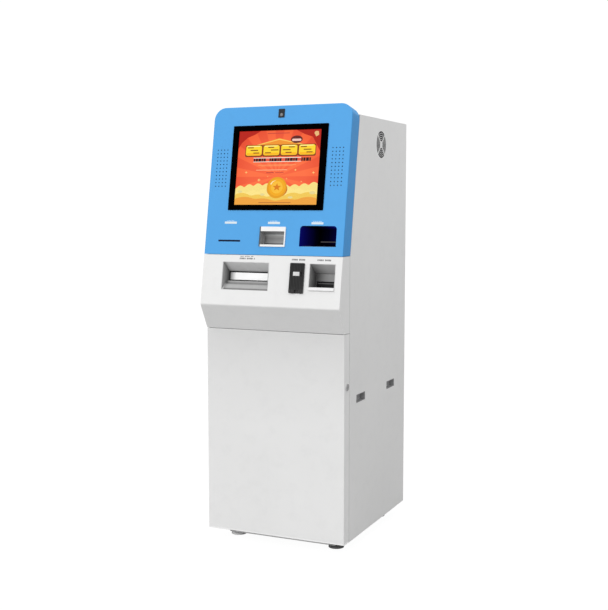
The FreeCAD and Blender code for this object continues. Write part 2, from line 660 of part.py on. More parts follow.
transport = fuse([tower, duct] + head)
transport = transport.cut(box(HEAD_X0 + 2, HEAD_X1 - 2, 180, 190, 642, 670))
roller_axes = (ROLLER_Z - ROLLER_OFFSET, ROLLER_Z + ROLLER_OFFSET)
shaft_bores = [rod_x(HEAD_X0 - 2, HEAD_X1 + 2, ROLLER_Y, z, SHAFT_R + RUNNING) for z in roller_axes]
save("note_transport", transport.cut(shaft_bores))
for node, z in zip(("presenter_roller_lower", "presenter_roller_upper"), roller_axes):
    drums = [rod_x(x, x + 22, ROLLER_Y, z, ROLLER_R) for x in (-190.0, -143.0, -88.0, -41.0)]
    save(node, fuse([rod_x(HEAD_X0, HEAD_X1, ROLLER_Y, z, SHAFT_R)] + drums))

# =====================================================================
# computer, supply, fan and mains inlet
# =====================================================================
pc = box(-150, 150, 400, 640, SHELF_Z, SHELF_Z + 70)
pc_inside = box(-148, 148, 402, 638, SHELF_Z + 2, SHELF_Z + 55)
fins = [box(-146 + 12 * i, -140 + 12 * i, 405, 635, SHELF_Z + 58, SHELF_Z + 71) for i in range(25)]
save("control_computer", cut(pc, [pc_inside] + fins))
supply = box(-270, -175, 420, 640, SHELF_Z, SHELF_Z + 90)
supply_inside = box(-268, -177, 422, 638, SHELF_Z + 2, SHELF_Z + 88)
vents = [box(-262, -183, 415, 425, SHELF_Z + z, SHELF_Z + z + 4) for z in range(20, 76, 10)]
save("power_supply", cut(supply, [supply_inside] + vents))

FAN_BORE = 57.5
fan_in, fan_out = inner_w - 25, inner_w
fan_frame = box(fan_in, fan_out, FAN_Y - 60, FAN_Y + 60, FAN_Z - 60, FAN_Z + 60)
fan_frame = fan_frame.cut(rod_x(fan_in - 1, fan_out + 1, FAN_Y, FAN_Z, FAN_BORE))
spokes = []
for angle in range(0, 360, 90):
    spoke = box(fan_in, fan_in + 3, FAN_Y, FAN_Y + 59, FAN_Z - 3, FAN_Z + 3)
    spoke.rotate(V(0, FAN_Y, FAN_Z), V(1, 0, 0), angle)
    spokes.append(spoke)
fan_frame = fuse([fan_frame, rod_x(fan_in, fan_in + 4, FAN_Y, FAN_Z, 20)] + spokes)
fan_frame = fuse([fan_frame, rod_x(fan_in + 4, fan_in + 16, FAN_Y, FAN_Z, 3)])
save("fan_frame", fan_frame)
hub = rod_x(fan_in + 4.6, fan_in + 22, FAN_Y, FAN_Z, 20)
blades = []
for i in range(7):
    blade = box(fan_in + 12, fan_in + 14, FAN_Y + 15, FAN_Y + 55, FAN_Z - 13, FAN_Z + 13)
    blade.rotate(V(fan_in + 13, FAN_Y, FAN_Z), V(0, 1, 0), 32)
    blade.rotate(V(0, FAN_Y, FAN_Z), V(1, 0, 0), i * 360.0 / 7)
    blades.append(blade)
rotor = fuse([hub] + blades).common(rod_x(fan_in + 4.6, fan_in + 22, FAN_Y, FAN_Z, 55))
save("fan_rotor", rotor.cut(rod_x(fan_in, fan_in + 18, FAN_Y, FAN_Z, 3 + RUNNING)))

inlet = fuse([
    box(INLET_X - 13.7, INLET_X + 13.7, 650, BACK_Y + 1, INLET_Z - 11.7, INLET_Z + 11.7),
    box(SWITCH_X - 13.7, SWITCH_X + 13.7, 655, BACK_Y + 1, INLET_Z - 10.7, INLET_Z + 10.7),
    box(INLET_X - 18, SWITCH_X + 18, BACK_Y, BACK_Y + 2, INLET_Z - 16, INLET_Z + 16),
])
inlet = inlet.cut([
    box(INLET_X - 12, INLET_X + 12, 660, 690, INLET_Z - 8, INLET_Z + 9),
    box(SWITCH_X - 10, SWITCH_X + 10, 664, 690, INLET_Z - 9, INLET_Z + 9),
])
contacts = [
    box(INLET_X + dx - 1, INLET_X + dx + 1, 658, 672, INLET_Z + dz - 2, INLET_Z + dz + 2)
    for dx, dz in ((-7, -2), (0, 3), (7, -2))
]
save("power_inlet", fuse([inlet] + contacts))
ROCKER_Y = 671.0
rocker_profile = [
    (ROCKER_Y - 3, INLET_Z - 5), (ROCKER_Y + 7, INLET_Z - 7), (ROCKER_Y + 4.6, INLET_Z),
    (ROCKER_Y + 4.6, INLET_Z + 7), (ROCKER_Y - 3, INLET_Z + 5),
]
rocker_pivots = rod_x(SWITCH_X - 9.9, SWITCH_X + 9.9, ROCKER_Y, INLET_Z, 1.5)
save("power_rocker", fuse([side_plate(rocker_profile, SWITCH_X - 9.5, SWITCH_X + 9.5), rocker_pivots]))

# =====================================================================
# lower door with its lock
# =====================================================================
door = box(-HALF_W, HALF_W, 0, DOOR_DEPTH, DOOR_BOTTOM, DOOR_TOP)
door = round_edges(door, 2.0, lambda a, b: abs(a.y) < 1e-6 and abs(b.y) < 1e-6)
door = door.cut(box(-inner_w, inner_w, SKIN, DOOR_DEPTH - SKIN, DOOR_BOTTOM + SKIN, DOOR_TOP - SKIN))
door = door.cut(box(-inner_w, inner_w - 14, 40, 60, DOOR_BOTTOM + 14, DOOR_TOP - 14))
door = door.cut(box(-HALF_W - 1, -inner_w + 14, DOOR_DEPTH - 3, 60, DOOR_BOTTOM - 1, DOOR_TOP + 1))
LOCK_Y = DOOR_DEPTH - LATCH_INSET
door = fuse([door, hinge_ear(DOOR_DEPTH, LOW_EAR), hinge_ear(DOOR_DEPTH, HIGH_EAR)])
save("door_skin", door.cut(rod_x(inner_w - 2, HALF_W + 2, LOCK_Y, LOCK_Z, 9.7)))

hat = [
    box(-40, 40, SKIN, SKIN + 1.5, 110, 770),
    box(-26, -24.5, SKIN, 24, 110, 770),
    box(24.5, 26, SKIN, 24, 110, 770),
    box(-26, 26, 22.5, 24, 110, 770),
]
stiffener = fuse(hat).cut(box(-24.5, 24.5, 0, 22.5, 100, 780))
save("door_stiffener", stiffener)

barrel = fuse([
    rod_x(HALF_W, HALF_W + 3, LOCK_Y, LOCK_Z, 13),
    rod_x(264, HALF_W + 1, LOCK_Y, LOCK_Z, 9.5),
    rod_x(278, inner_w, LOCK_Y, LOCK_Z, 14),
])
save("lock_barrel", barrel.cut(rod_x(260, 300, LOCK_Y, LOCK_Z, 6.5 + RUNNING)))
plug = rod_x(258, HALF_W + 3.2, LOCK_Y, LOCK_Z, 6.5)
key_slot = box(HALF_W - 12, HALF_W + 5, LOCK_Y - 1, LOCK_Y + 1, LOCK_Z - 4.5, LOCK_Z + 4.5)
save("lock_plug", plug.cut(key_slot))
cam = latch_hook(DOOR_DEPTH, LOCK_Z, 260.6, 263.4, 11).cut(rod_x(255, 268, LOCK_Y, LOCK_Z, 6.52))
save("lock_cam", cam)

# =====================================================================
# fascia: the sloping blue door and everything mounted on it (local x, d, s)
# =====================================================================

def slab(inset, d0, d1, length, corner):
    body = box(-HALF_W + inset, HALF_W - inset, d0, d1, -40, length)
    return round_edges(body, corner, lambda a, b: along_y(a, b) and a.z > 100)


def below(line_s, d0, d1):
    """Everything under the level bottom of the fascia, raised by line_s."""
    return side_plate([(d0, -60), (d1, -60), (d1, d1 * T + line_s), (d0, d0 * T + line_s)], -400, 400)


shell = slab(0, 0, FASCIA_DEPTH, FASCIA_LENGTH, FASCIA_CORNER_R)
shell = round_edges(shell, 2.5, lambda a, b: abs(a.y) < 1e-6 and abs(b.y) < 1e-6 and max(a.z, b.z) > -39)
shell = shell.cut(below(0.6, -10, 80))
inside = slab(SKIN, SKIN, FASCIA_DEPTH - SKIN, FASCIA_LENGTH - SKIN, FASCIA_CORNER_R - SKIN)
inside = inside.cut(below(0.6 + SKIN, -10, 80))
shell = shell.cut(inside)
shell = shell.cut(box(-inner_w, inner_w - 14, 60, 80, 26, 536))
shell = shell.cut(box(-HALF_W - 1, -inner_w + 14, FASCIA_DEPTH - 3, 80, -60, 536))
hinge_relief = below(3.2, 46, 64).common(box(-HALF_W - 1, HINGE_X + 1, 40, 70, -20, 40))
shell = shell.cut(hinge_relief)
LATCH_D = FASCIA_DEPTH - LATCH_INSET
latch_stub = [
    rod_x(258.4, inner_w, LATCH_D, LATCH_S, 5),
    rod_x(281.5, inner_w, LATCH_D, LATCH_S, 11),
]
ears = [hinge_ear(FASCIA_DEPTH, SLOPE_LOW_EAR), hinge_ear(FASCIA_DEPTH, SLOPE_HIGH_EAR)]
shell = fuse([shell] + ears + latch_stub)

SPEAKER_XS = (218.0, 232.0, 246.0, 260.0)
SPEAKER_S0, SPEAKER_PITCH, SPEAKER_ROWS = 262.0, 14.0, 11
HOLE_R = 2.3
holes = []
for row in range(SPEAKER_ROWS):
    for x in SPEAKER_XS:
        s = SPEAKER_S0 + row * SPEAKER_PITCH
        holes.append(rod_y(x, -1, 3, s, HOLE_R))
        holes.append(rod_y(-x, -1, 3, s, HOLE_R))
LIGHTS = ((-207.0, -156.0), (-24.0, 25.0), (154.0, 201.0))
for x0, x1 in LIGHTS:
    holes.append(box(x0 + 2, x1 - 2, -1, 3, 119, 124))
holes += [
    box(-190, 188, -1, 3, 178, 486),
    box(-10, 9, -1, 3, 524, 551),
    box(-230, -136, -1, 3, 49, 56),
    box(-52, 49, -1, 3, 36, 104),
]
scan_hole = round_edges(box(109, 256, -1, 3, 35, 112), 13, lambda a, b: along_y(a, b) and a.z > 100)
save("fascia_shell", tilt(shell.cut(holes + [scan_hole])))

# ---- display ----
bezel = rounded_box(BEZEL_X0, BEZEL_X1, -2.5, 0, BEZEL_S0, BEZEL_S1, 3)
bezel = fuse([bezel, box(-189.5, 187.5, -1, 5, 178.5, 485.5)])
bezel = bezel.cut([
    box(SCREEN_X0, SCREEN_X1, -5, 8, SCREEN_S0, SCREEN_S1),
    box(-183, 178, 0.5, 8, 181, 482),
])
save("display_bezel", tilt(bezel))
save("display_panel", tilt(box(-182.7, 177.7, 0.8, 5, 181.3, 481.7)))
can = box(-186, 184, 5.2, 48, 176, 488).cut(box(-183, 181, 5.0, 45, 179, 485))
can = fuse([can, box(-192, 190, 5.2, 7.2, 174, 490).cut(box(-183, 181, 0, 10, 179, 485))])
can_slots = [box(-150, 150, 44, 50, 200 + 14 * i, 206 + 14 * i) for i in range(6)]
save("display_case", tilt(can.cut(can_slots)))

# ---- camera ----
camera = fuse([
    rounded_box(-13, 12, -2, 0, 521, 554, 2),
    box(-9.5, 8.5, -1, 24, 524.5, 550.5),
])
camera = camera.cut([rod_y(-0.5, -3, 12, 532, 6.2)])
save("camera_housing", tilt(camera))
save("camera_lens", tilt(fuse([rod_y(-0.5, -1.2, 12, 532, 6.2 - 0.3), rod_y(-0.5, -1.7, -1.2, 532, 4.2)])))

# ---- loudspeakers behind the two hole fields ----
speakers = []
for side in (1, -1):
    x_in, x_out = sorted((side * 211, side * 268))
    basket = rounded_box(x_in, x_out, SKIN, 6, 256, 408, 10)
    magnet = rod_y(side * 239.5, 6, 26, 332, 24)
    cone_gap = rounded_box(x_in + 6, x_out - 6, 1, 4, 262, 402, 8)
    speakers.append(fuse([basket, magnet]).cut(cone_gap))
save("speakers", tilt(Part.makeCompound(speakers)))

# ---- card reader ----
reader = fuse([
    box(-229.7, -136.3, 0.4, 3, 49.3, 55.7),
    box(-236, -130, SKIN, 4, 42, 64),
    box(-226, -140, 4, 105, 34, 76),
])
reader = reader.cut([box(-226, -140, -1, 96, 51.4, 53.6)])
save("card_reader", tilt(reader))

# ---- receipt printer: white framed pocket, chassis, lid and paper roll ----
PRINT_X0, PRINT_X1 = -55.0, 52.0
frame = fuse([
    rounded_box(PRINT_X0, PRINT_X1, -4, 0, 32, 107, 2),
    box(PRINT_X0 + 3.5, PRINT_X1 - 3.5, -1, 30, 36.5, 103.5),
])
pocket = side_plate([(-6, 90), (-6, 40), (2, 39.5), (26, 43), (26, 82), (2, 90)], -50.4, 47.4)
exit_slot = box(-44, 42, 20, 34, 45, 47.5)
save("printer_bezel", tilt(frame.cut([pocket, exit_slot])))
PRN = (-50.0, 48.0, 31.0, 118.0, 30.0, 108.0)
prn = box(*PRN).cut(box(-47, 45, 56, 115, 33, 110))
prn = prn.cut(box(-44, 42, 30, 60, 45, 47.5))
ROLL_D, ROLL_S, ROLL_R = 86.0, 64.0, 25.0
prn = fuse([prn, rod_x(-48, 46, ROLL_D, ROLL_S, 5.5)])
LID_D, LID_S, LID_R = 114.0, 112.0, 2.0
lid_ears = [
    box(-50, -46, 108, 118, 105, 116),
    box(44, 48, 108, 118, 105, 116),
]
prn = fuse([prn] + lid_ears).cut(rod_x(-60, 60, LID_D, LID_S, LID_R + RUNNING))
save("printer_chassis", tilt(prn))
roll = rod_x(-43, 41, ROLL_D, ROLL_S, ROLL_R).cut(rod_x(-50, 50, ROLL_D, ROLL_S, 5.5 + RUNNING))
save("paper_roll", tilt(roll))
lid = fuse([
    box(-45, 43, 57, 112, 108.5, 110.5),
    box(-45, 43, 110, 116, 110, 114),
    rod_x(-50, 48, LID_D, LID_S, LID_R),
])
save("printer_lid", tilt(lid))

# ---- document scanner: deep hood over a glass window ----
hood = box(107.2, 257.8, SKIN, 88, 28, 114)
flange = box(103, 262, SKIN, 3, 28, 118)
throat = round_edges(box(110, 255, -1, 85, 36, 111), 12, lambda a, b: along_y(a, b) and a.z > 100)
nose = box(109.3, 255.7, 0.3, 3, 35.3, 111.7)
nose = round_edges(nose, 12.7, lambda a, b: along_y(a, b) and a.z > 100)
hood = fuse([hood, flange, nose]).cut(throat)
glass_pocket = box(120, 250, 8, 78, 33, 40)
save("scanner_hood", tilt(hood.cut(glass_pocket)))
save("scanner_glass", tilt(box(120.3, 249.7, 8.3, 77.7, 33, 37.5)))

# ---- light bars over the three slots ----
bars = []
for x0, x1 in LIGHTS:
    face = box(x0, x1, -1.2, 0, 117.5, 125.5)
    bars.append(fuse([face, box(x0 + 2.3, x1 - 2.3, -1, 6, 119.3, 123.7)]))
save("guide_lights", tilt(Part.makeCompound(bars)))

# ---- inside latch: thumb hook on the stub of the right wall ----
hook = fuse([
    latch_hook(FASCIA_DEPTH, LATCH_S, 262.6, 266.6, 11),
    box(256, 266.6, LATCH_D - 14, LATCH_D - 10, LATCH_S - 28, LATCH_S + 4),
])
hook = hook.cut(rod_x(250, 270, LATCH_D, LATCH_S, 5 + RUNNING))
save("fascia_latch", tilt(hook))
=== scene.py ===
import math

import bmesh
import bpy
from mathutils import Matrix, Vector


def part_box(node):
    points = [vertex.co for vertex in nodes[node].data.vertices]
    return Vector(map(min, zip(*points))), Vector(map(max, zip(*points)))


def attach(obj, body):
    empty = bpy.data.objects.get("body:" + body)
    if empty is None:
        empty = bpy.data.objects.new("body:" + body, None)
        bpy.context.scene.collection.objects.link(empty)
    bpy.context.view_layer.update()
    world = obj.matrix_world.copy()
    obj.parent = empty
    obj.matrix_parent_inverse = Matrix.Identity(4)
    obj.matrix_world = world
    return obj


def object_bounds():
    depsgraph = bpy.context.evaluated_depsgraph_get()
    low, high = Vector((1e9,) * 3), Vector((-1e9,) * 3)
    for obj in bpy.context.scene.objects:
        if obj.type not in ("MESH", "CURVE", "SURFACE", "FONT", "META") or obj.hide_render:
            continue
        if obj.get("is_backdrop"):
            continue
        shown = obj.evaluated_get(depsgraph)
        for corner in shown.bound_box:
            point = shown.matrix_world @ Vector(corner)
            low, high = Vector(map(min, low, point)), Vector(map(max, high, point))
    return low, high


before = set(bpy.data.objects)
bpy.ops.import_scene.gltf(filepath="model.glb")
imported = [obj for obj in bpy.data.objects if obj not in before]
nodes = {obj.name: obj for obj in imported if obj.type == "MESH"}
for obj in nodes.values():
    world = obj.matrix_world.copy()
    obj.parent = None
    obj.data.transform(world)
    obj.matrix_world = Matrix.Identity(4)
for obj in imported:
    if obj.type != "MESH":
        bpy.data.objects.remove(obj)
cad_low, cad_high = (v.copy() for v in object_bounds())

# The fascia leans back by this angle; its local frame is x, up the slope, and out of the face.
TILT = math.radians(9.9)
OUT = Vector((0, -math.cos(TILT), math.sin(TILT)))      # out of the face
UP = Vector((0, math.sin(TILT), math.cos(TILT)))        # up the slope
X_AXIS, Y_AXIS, Z_AXIS = Vector((1, 0, 0)), Vector((0, 1, 0)), Vector((0, 0, 1))
FRAME_ORIGIN = Vector((0, 0, 0))
shell_low, shell_high = (Vector(v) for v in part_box("fascia_shell"))
# Slope distances start on the plane of the face, 0.6 mm below the shell's lower edge.
ORIGIN_FORWARD, ORIGIN_DROP = 0.0001, 0.0006
FACE_ORIGIN = Vector((0, shell_low.y - ORIGIN_FORWARD, shell_low.z - ORIGIN_DROP))
LIFT = 0.00012          # spacing between the thin layers of the printed artwork

# =====================================================================
# materials
# =====================================================================
NOISE_ROUGHNESS = 0.55
# Half widths of the edges between two tones of one paint, in metres.
WALL_EDGE = 0.0003
RIM_EDGE = 0.0005
BAND_EDGE = 0.001


def new_material(name):
    material = bpy.data.materials.new(name)
    material.use_nodes = True
    tree = material.node_tree
    tree.nodes.clear()
    output = tree.nodes.new("ShaderNodeOutputMaterial")
    shader = tree.nodes.new("ShaderNodeBsdfPrincipled")
    tree.links.new(shader.outputs["BSDF"], output.inputs["Surface"])
    return material, tree, shader


def add(tree, kind, **inputs):
    """A new node with the given input values."""
    node = tree.nodes.new(kind)
    for name, value in inputs.items():
        node.inputs[name].default_value = value
    return node


def object_coords(tree, scale=(1, 1, 1)):
    coords = tree.nodes.new("ShaderNodeTexCoord")
    mapping = tree.nodes.new("ShaderNodeMapping")
    mapping.inputs["Scale"].default_value = scale
    tree.links.new(coords.outputs["Object"], mapping.inputs["Vector"])
    return mapping.outputs["Vector"]


def noise(tree, vector, scale, detail=3.0):
    node = tree.nodes.new("ShaderNodeTexNoise")
    node.inputs["Scale"].default_value = scale
    node.inputs["Detail"].default_value = detail
    node.inputs["Roughness"].default_value = NOISE_ROUGHNESS
    tree.links.new(vector, node.inputs["Vector"])
    return node.outputs["Fac"]


def ramp(tree, factor, stops):
    """Colour by a factor; stops are (position, colour)."""
    node = tree.nodes.new("ShaderNodeValToRGB")
    elements = node.color_ramp.elements
    while len(elements) < len(stops):
        elements.new(0.5)
    for element, (position, colour) in zip(elements, stops):
        element.position = position
        element.color = (*colour, 1.0)
    tree.links.new(factor, node.inputs["Fac"])
    return node.outputs["Color"]


def span(tree, factor, low, high):
    """Map 0..1 to low..high."""
    node = tree.nodes.new("ShaderNodeMapRange")
    node.inputs["To Min"].default_value = low
    node.inputs["To Max"].default_value = high
    tree.links.new(factor, node.inputs["Value"])
    return node.outputs["Result"]


def math_node(tree, operation, a, b=None, clamp=False):
    node = tree.nodes.new("ShaderNodeMath")
    node.operation = operation
    node.use_clamp = clamp
    for index, value in enumerate((a, b)):
        if value is None:
            continue
        if isinstance(value, (int, float)):
            node.inputs[index].default_value = value
        else:
            tree.links.new(value, node.inputs[index])
    return node.outputs["Value"]


def mix_colour(tree, factor, a, b, blend="MIX"):
    node = tree.nodes.new("ShaderNodeMix")
    node.data_type = "RGBA"
    node.blend_type = blend
    # In its colour mode the node takes its factor and colours at 0, 6 and 7 and gives its result at 2.
    for socket, value in ((node.inputs[0], factor), (node.inputs[6], a), (node.inputs[7], b)):
        if isinstance(value, (int, float)):
            socket.default_value = value
        elif isinstance(value, tuple):
            socket.default_value = (*value, 1.0)
        else:
            tree.links.new(value, socket)
    return node.outputs[2]


def multiply(tree, a, b):
    return mix_colour(tree, 1.0, a, b, "MULTIPLY")


def bump(tree, shader, height, strength, distance):
    node = tree.nodes.new("ShaderNodeBump")
    node.inputs["Strength"].default_value = strength
    node.inputs["Distance"].default_value = distance
    tree.links.new(height, node.inputs["Height"])
    tree.links.new(node.outputs["Normal"], shader.inputs["Normal"])


def matt(shader, level):
    """Weaken the surface's mirror-like reflection."""
    shader.inputs["Specular IOR Level"].default_value = level


def scaled(colour, by):
    return tuple(min(1.0, c * by) for c in colour)


def grey(value):
    return (value, value, value)


def powder_coat(name, colour, roughness=0.46, grain=650.0, relief=0.00012, gloss=0.5):
    """Baked powder paint: orange-peel relief, slow tone drift and a little handling grime."""
    material, tree, shader = new_material(name)
    matt(shader, gloss)
    vector = object_coords(tree)
    peel = noise(tree, vector, grain, 2.0)
    drift = noise(tree, vector, 2.2, 4.0)
    cloud = noise(tree, vector, 24.0, 5.0)
    tone = ramp(tree, drift, [(0.3, scaled(colour, 0.975)), (0.7, scaled(colour, 1.02))])
    speck = ramp(tree, cloud, [(0.25, grey(0.94)), (0.5, grey(1.0))])
    tree.links.new(mix_colour(tree, 0.5, tone, speck, "MULTIPLY"), shader.inputs["Base Color"])
    tree.links.new(span(tree, cloud, roughness - 0.07, roughness + 0.08), shader.inputs["Roughness"])
    bump(tree, shader, peel, 0.35, relief)
    return material


def moulded(name, colour, roughness=0.5, grain=1400.0, relief=0.00008, gloss=0.5):
    """Injection-moulded plastic with fine spark-eroded grain and faint flow marks."""
    material, tree, shader = new_material(name)
    matt(shader, gloss)
    vector = object_coords(tree)
    fine = noise(tree, vector, grain, 2.0)
    flow = noise(tree, object_coords(tree, (1, 0.4, 1)), 38.0, 3.0)
    tone = ramp(tree, flow, [(0.3, scaled(colour, 0.9)), (0.75, scaled(colour, 1.08))])
    tree.links.new(tone, shader.inputs["Base Color"])
    tree.links.new(span(tree, fine, roughness - 0.06, roughness + 0.08), shader.inputs["Roughness"])
    bump(tree, shader, fine, 0.4, relief)
    return material


def galvanised(name, colour):
    """Zinc-coated sheet: interlocking crystals, each a slightly different grey and gloss."""
    material, tree, shader = new_material(name)
    shader.inputs["Metallic"].default_value = 1.0
    vector = object_coords(tree)
    crystals = tree.nodes.new("ShaderNodeTexVoronoi")
    crystals.inputs["Scale"].default_value = 75.0
    tree.links.new(vector, crystals.inputs["Vector"])
    grey = tree.nodes.new("ShaderNodeRGBToBW")
    tree.links.new(crystals.outputs["Color"], grey.inputs["Color"])
    tone = ramp(tree, grey.outputs["Val"], [(0.1, scaled(colour, 0.82)), (0.9, scaled(colour, 1.12))])
    tree.links.new(tone, shader.inputs["Base Color"])
    tree.links.new(span(tree, grey.outputs["Val"], 0.34, 0.55), shader.inputs["Roughness"])
    bump(tree, shader, noise(tree, vector, 300.0), 0.15, 0.0001)
    return material


def plated(name, colour, roughness, streak=(1, 40, 1)):
    """Plated or brushed steel with fine drawn lines."""
    material, tree, shader = new_material(name)
    shader.inputs["Metallic"].default_value = 1.0
    lines = noise(tree, object_coords(tree, streak), 60.0, 4.0)
    tone = ramp(tree, lines, [(0.3, scaled(colour, 0.86)), (0.7, scaled(colour, 1.06))])
    tree.links.new(tone, shader.inputs["Base Color"])
    tree.links.new(span(tree, lines, roughness * 0.75, roughness * 1.3), shader.inputs["Roughness"])
    bump(tree, shader, lines, 0.12, 0.00008)
    return material


def rubber(name, colour):
    """Matt rubber with a dusty bloom and small pits."""
    material, tree, shader = new_material(name)
    vector = object_coords(tree)
    bloom = noise(tree, vector, 45.0, 5.0)
    tone = ramp(tree, bloom, [(0.35, colour), (0.8, tuple(c + 0.035 for c in colour))])
    tree.links.new(tone, shader.inputs["Base Color"])
    tree.links.new(span(tree, bloom, 0.68, 0.9), shader.inputs["Roughness"])
    bump(tree, shader, noise(tree, vector, 900.0), 0.4, 0.00015)
    return material


def self_lit(tree, shader, tone, power=1.0):
    """Let a surface shine in its own tone, with hardly any colour under other light."""
    matt(shader, 0.04)
    tree.links.new(tone, shader.inputs["Emission Color"])
    tree.links.new(mix_colour(tree, 0.97, tone, grey(0.0)), shader.inputs["Base Color"])
    shader.inputs["Emission Strength"].default_value = power


def lit(name, colour, power=1.0, variation=0.06):
    """Printed or backlit surface that shines, with a faint pixel-scale mottling."""
    material, tree, shader = new_material(name)
    mottle = noise(tree, object_coords(tree), 260.0, 2.0)
    stops = [(0.3, scaled(colour, 1 - variation)), (0.7, scaled(colour, 1 + variation))]
    self_lit(tree, shader, ramp(tree, mottle, stops), power)
    tree.links.new(span(tree, mottle, 0.25, 0.35), shader.inputs["Roughness"])
    return material


def ink(name, colour):
    """Printing ink or card: slightly uneven, matt."""
    material, tree, shader = new_material(name)
    cover = noise(tree, object_coords(tree), 700.0, 3.0)
    tone = ramp(tree, cover, [(0.3, scaled(colour, 0.92)), (0.7, scaled(colour, 1.08))])
    tree.links.new(tone, shader.inputs["Base Color"])
    tree.links.new(span(tree, cover, 0.5, 0.7), shader.inputs["Roughness"])
    return material


def glassy(name, colour):
    """Dark coated glass: near-black body, hard reflection, faint smears."""
    material, tree, shader = new_material(name)
    smear = noise(tree, object_coords(tree, (1, 1, 3)), 30.0, 4.0)
    tone = ramp(tree, smear, [(0.3, colour), (0.8, tuple(c + 0.01 for c in colour))])
    tree.links.new(tone, shader.inputs["Base Color"])
    tree.links.new(span(tree, smear, 0.025, 0.11), shader.inputs["Roughness"])
    shader.inputs["Coat Weight"].default_value = 0.4
    return material


WHITE = (0.775, 0.775, 0.772)
BLUE = (0.094, 0.378, 0.775)
paint = powder_coat("cabinet_powder_coat", WHITE)
frame_paint = powder_coat("base_frame_paint", grey(0.7))
black_metal = powder_coat("black_powder_coat", (0.035, 0.036, 0.04), 0.5, 500.0)
zinc = plated("zinc_plate", (0.62, 0.61, 0.58), 0.32)
chrome = plated("lock_chrome", (0.74, 0.74, 0.75), 0.16, (30, 1, 1))
brushed = plated("brushed_stainless", (0.5, 0.5, 0.5), 0.34, (40, 1, 1))
sheet_steel = galvanised("galvanised_sheet", (0.52, 0.53, 0.55))
roller_rubber = rubber("roller_rubber", (0.05, 0.05, 0.055))
grey_plastic = moulded("hand_hold_moulding", (0.33, 0.33, 0.335), 0.55)
black_plastic = moulded("black_moulding", (0.01, 0.01, 0.011), 0.5, gloss=0.2)
cassette_plastic = moulded("cassette_moulding", (0.11, 0.115, 0.13), 0.5)
bezel_black = moulded("bezel_moulding", (0.0008, 0.0006, 0.0007), 0.4, 1800.0, 0.00003, 0.0)
camera_grey = moulded("camera_moulding", (0.027, 0.029, 0.034), 0.55, gloss=0.1)
button_white = moulded("return_button_moulding", (0.64, 0.64, 0.64), 0.4)
slot_blue = moulded("card_slot_moulding", (0.004, 0.012, 0.06), 0.45, gloss=0.15)
lens_glass = glassy("camera_lens_glass", (0.004, 0.005, 0.012))
scan_glass = glassy("scanner_window", (0.012, 0.016, 0.03))
lamp_white = lit("light_bar_diffuser", (0.82, 0.92, 1.0), 0.85, 0.03)


def place(tree, direction, origin):
    """Distance of a surface point along a direction from an origin, in metres.

    The object coordinates of a CAD node are metres in the frame, at rest.
    """
    coords = tree.nodes.new("ShaderNodeTexCoord")
    offset = tree.nodes.new("ShaderNodeVectorMath")
    offset.operation = "SUBTRACT"
    offset.inputs[1].default_value = origin
    dot = tree.nodes.new("ShaderNodeVectorMath")
    dot.operation = "DOT_PRODUCT"
    dot.inputs[1].default_value = direction
    tree.links.new(coords.outputs["Object"], offset.inputs[0])
    tree.links.new(offset.outputs["Vector"], dot.inputs[0])
    return dot.outputs["Value"]


def between(tree, value, low, high):
    """Map low..high to 0..1, clamped."""
    node = tree.nodes.new("ShaderNodeMapRange")
    node.inputs["From Min"].default_value = low
    node.inputs["From Max"].default_value = high
    tree.links.new(value, node.inputs["Value"])
    return node.outputs["Result"]


def past(tree, value, limit, edge):
    """Zero below the limit and one above it."""
    return between(tree, value, limit - edge, limit + edge)


def short_of(tree, value, limit, edge):
    """One below the limit and zero above it."""
    return between(tree, value, limit + edge, limit - edge)


def within(tree, value, low, high):
    """One where the value lies between low and high, zero elsewhere, with a narrow edge."""
    above = past(tree, value, low, WALL_EDGE)
    return math_node(tree, "MULTIPLY", above, short_of(tree, value, high, WALL_EDGE))


